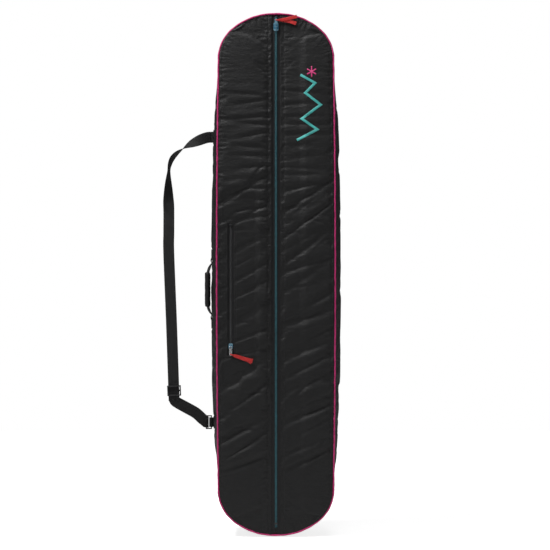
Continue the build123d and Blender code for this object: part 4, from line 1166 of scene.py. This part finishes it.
def print_strip(name, surface, line, width, rise):
    """A printed strip with mitred corners that follows the cloth's folds."""
    line = np.asarray(line, float)
    ahead = unit_rows(np.diff(line, axis=0))
    corners = unit_rows(np.array([ahead[0], *(ahead[:-1] + ahead[1:]), ahead[-1]]))
    sides = []
    for k, run in enumerate(corners):
        stretch = 1 / max(0.45, abs(run @ ahead[min(k, len(ahead) - 1)]))
        sides.append(np.array([-run[1], run[0]]) * stretch)
    shares = np.linspace(-0.5, 0.5, 5)
    points = []
    for k in range(len(line) - 1):
        count = max(2, int(np.linalg.norm(line[k + 1] - line[k]) / (1.5 * MM)))
        for t in np.linspace(0, 1, count, endpoint=k == len(line) - 2):
            centre = line[k] * (1 - t) + line[k + 1] * t
            side = sides[k] * (1 - t) + sides[k + 1] * t
            for share in shares:
                spot, normal = on_front(surface, *(centre + side * share * width))
                points.append(spot + normal * rise)
    faces = grid_faces(len(points) // len(shares), len(shares))
    return thicken(mesh_object(name, points, faces, front_uvs(points)), 0.25 * MM, 0)


def prints(surface):
    """Generic trim on the right half: a zig-zag mountain ridge with a small snow crystal."""
    ridge = np.array([(60, 385), (118, 415), (74, 446), (128, 486), (84, 520), (112, 548), (70, 572)]) * MM
    piece = print_strip("ridge_print", surface, ridge, 7 * MM, 0.2 * MM)
    finish(piece, INK_TEAL, "print_teal", "motif_ridge", flap=1)
    low, high = np.array(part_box("motif_crystal"))[:, [0, 2]]
    centre = (low + high) / 2
    bars = []
    for k in range(3):
        angle = math.radians(90 + 60 * k)
        half = np.array([math.cos(angle), math.sin(angle)]) * 15 * MM
        line = [centre - half, centre + half]
        bars.append(print_strip("bar", surface, line, 3.6 * MM, (0.2 + 0.02 * k) * MM))
    points, faces = gathered(bars)
    for bar in bars:
        bpy.data.objects.remove(bar)
    piece = mesh_object("crystal_print", points, faces, front_uvs(points))
    finish(piece, INK_PINK, "print_pink", "motif_crystal", flap=1)


def front_stitching(side, word, surface):
    """Topstitching beside the zip, inside the seam near both ends, and round the pocket mouth."""
    end_z = 0.715
    lines = [[(side * ZIP_STITCH, -end_z), (side * ZIP_STITCH, end_z)]]
    for sign in (-1, 1):
        z = sign * np.linspace(0.30, 0.712, 60)
        lines.append(np.stack([side * (reach_at(z) - SEAM_STITCH), z], 1))
    if side < 0:
        for gap in (3.0 * MM, 8.0 * MM):
            a, b = POCKET_X - POCKET_HALF - gap, POCKET_X + POCKET_HALF + gap
            c, d = POCKET_BOTTOM - gap, POCKET_TOP + gap
            lines.append([(a, c), (b, c), (b, d), (a, d), (a, c)])
    piece = stitching("front_stitching_" + word, lines, lambda x, z: on_front(surface, x, z))
    finish(piece, THREAD, "shell_cloth", flap=side)


# Assembly

def paint_nodes():
    """Cast and moulded parts keep their model shape, with soft edges and a worn finish."""
    finishes = (
        (PAINT, "main_slider", "main_tab", "pocket_slider"),
        (CHROME, "pocket_tab"),
        (PLASTIC, "main_stop_top", "main_stop_bottom", "pocket_stop_upper", "pocket_stop_lower"),
        (PLASTIC, "strap_adjuster", "strap_ring"),
    )
    nodes = {piece["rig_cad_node"]: piece for piece in bpy.context.scene.objects if "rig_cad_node" in piece}
    for material, *names in finishes:
        for piece in [nodes[name] for name in names]:
            for slot in piece.material_slots:
                slot.link = "OBJECT"
                slot.material = material
            modifier = piece.modifiers.new("soft_edges", "BEVEL")
            modifier.width = 0.25 * MM
            modifier.segments = 2
            modifier.limit_method = "ANGLE"
            modifier.angle_limit = math.radians(40)
            modifier.harden_normals = False


def back_height(room):
    return 0.4 * MM + 0.6 * MM * smooth_step(-room, -8 * MM, 0)


def back_lining_height(room):
    return 9.4 * MM - 1.2 * MM * smooth_step(-room, -20 * MM, 0)


def build():
    wall = gusset()
    walls = ("side_gusset_left", "side_gusset_right", "end_gusset_top", "end_gusset_bottom")
    finish(wall, SHELL, "shell_cloth", *walls, body="bag")
    side_fittings(wall)
    finish(piping(), PIPING, "piping", "front_piping", body="bag")
    back = full_sheet("back_cloth", 1.0 * MM, back_height, 31, 26, 0.9, True)
    finish(back, SHELL, "shell_cloth", "back_panel", body="bag")
    lining = full_sheet("back_lining_cloth", 9 * MM, back_lining_height, 32, 40, 1.4, False)
    finish(lining, LINING, "lining_cloth", "back_lining", "back_padding", body="bag")
    nodes = [kind + word for kind in ("side_lining_", "side_padding_") for word in ("left", "right")]
    nodes += [kind + word for kind in ("end_lining_", "end_padding_") for word in ("top", "bottom")]
    finish(wall_lining(), LINING, "lining_cloth", *nodes, body="bag")
    for side, word in SIDES:
        cloth = front_half(side, word)
        surface = surface_of(cloth)
        finish(cloth, SHELL, "shell_cloth", "front_frame_" + word, "front_flap_" + word, flap=side)
        finish(flap_lining(side, word), LINING, "lining_cloth", "flap_lining_" + word, flap=side)
        front_stitching(side, word, surface)
        if side > 0:
            prints(surface)
    zips()
    pulls()
    pocket_pouch()
    paint_nodes()


# Floor, light and camera

def studio():
    """Pale floor, white surroundings, soft lights and a camera square to the front."""
    half, floor_z = 2.5, -0.7535
    corners = [(-half, -half), (half, -half), (half, half), (-half, half)]
    floor = mesh_object("floor", [(x, y, floor_z) for x, y in corners], [(0, 1, 2, 3)])
    nodes = Nodes("pale_floor")
    cloudy = nodes.noise(nodes.place(), 2.0, 2)
    nodes.set(Base_Color=nodes.ramp(cloudy, (0.90, 0.90, 0.90), (0.93, 0.93, 0.93)), Roughness=0.9)
    seen = nodes.add("ShaderNodeLightPath").outputs["Is Camera Ray"]
    nodes.set(Emission_Color=(1, 1, 1, 1), Emission_Strength=nodes.spread(seen, 0.1, 0.8))
    floor.data.materials.append(nodes.material)
    world = bpy.data.worlds.new("studio")
    world.use_nodes = True
    tree = world.node_tree
    seen = tree.nodes.new("ShaderNodeLightPath")
    strength = tree.nodes.new("ShaderNodeMapRange")
    strength.inputs["To Min"].default_value = 0.12
    strength.inputs["To Max"].default_value = 1.0
    tree.links.new(seen.outputs["Is Camera Ray"], strength.inputs["Value"])
    tree.links.new(strength.outputs[0], tree.nodes["Background"].inputs[1])
    tree.nodes["Background"].inputs[0].default_value = (1, 1, 1, 1)
    bpy.context.scene.world = world
    lamp("key_light", (-1.3, -0.8, 2.5), 0.7, 88)
    lamp("fill_light", (2.2, -2.0, -0.2), 1.6, 7)
    lamp("top_light", (0.3, -0.9, 2.4), 1.0, 12)
    distance, front_depth, picture_height, sensor = 4.0, 0.12, 1.577, 36
    camera_data = bpy.data.cameras.new("camera")
    camera_data.sensor_width = sensor
    camera_data.lens = sensor * (distance - front_depth) / picture_height
    camera = bpy.data.objects.new("camera", camera_data)
    camera.location = (-2.9 * MM, -distance, -1.4 * MM)
    camera.rotation_euler = (math.pi / 2, 0, 0)
    bpy.context.scene.collection.objects.link(camera)
    bpy.context.scene.camera = camera
    bpy.context.scene.view_settings.view_transform = "Standard"


def lamp(name, place, size, power):
    """Square area light aimed at the middle of the bag's back face."""
    data = bpy.data.lights.new(name, "AREA")
    data.size = size
    data.energy = power
    light = bpy.data.objects.new(name, data)
    light.location = place
    light.rotation_euler = (-Vector(place)).to_track_quat("-Z", "Y").to_euler()
    bpy.context.scene.collection.objects.link(light)


build()
studio()
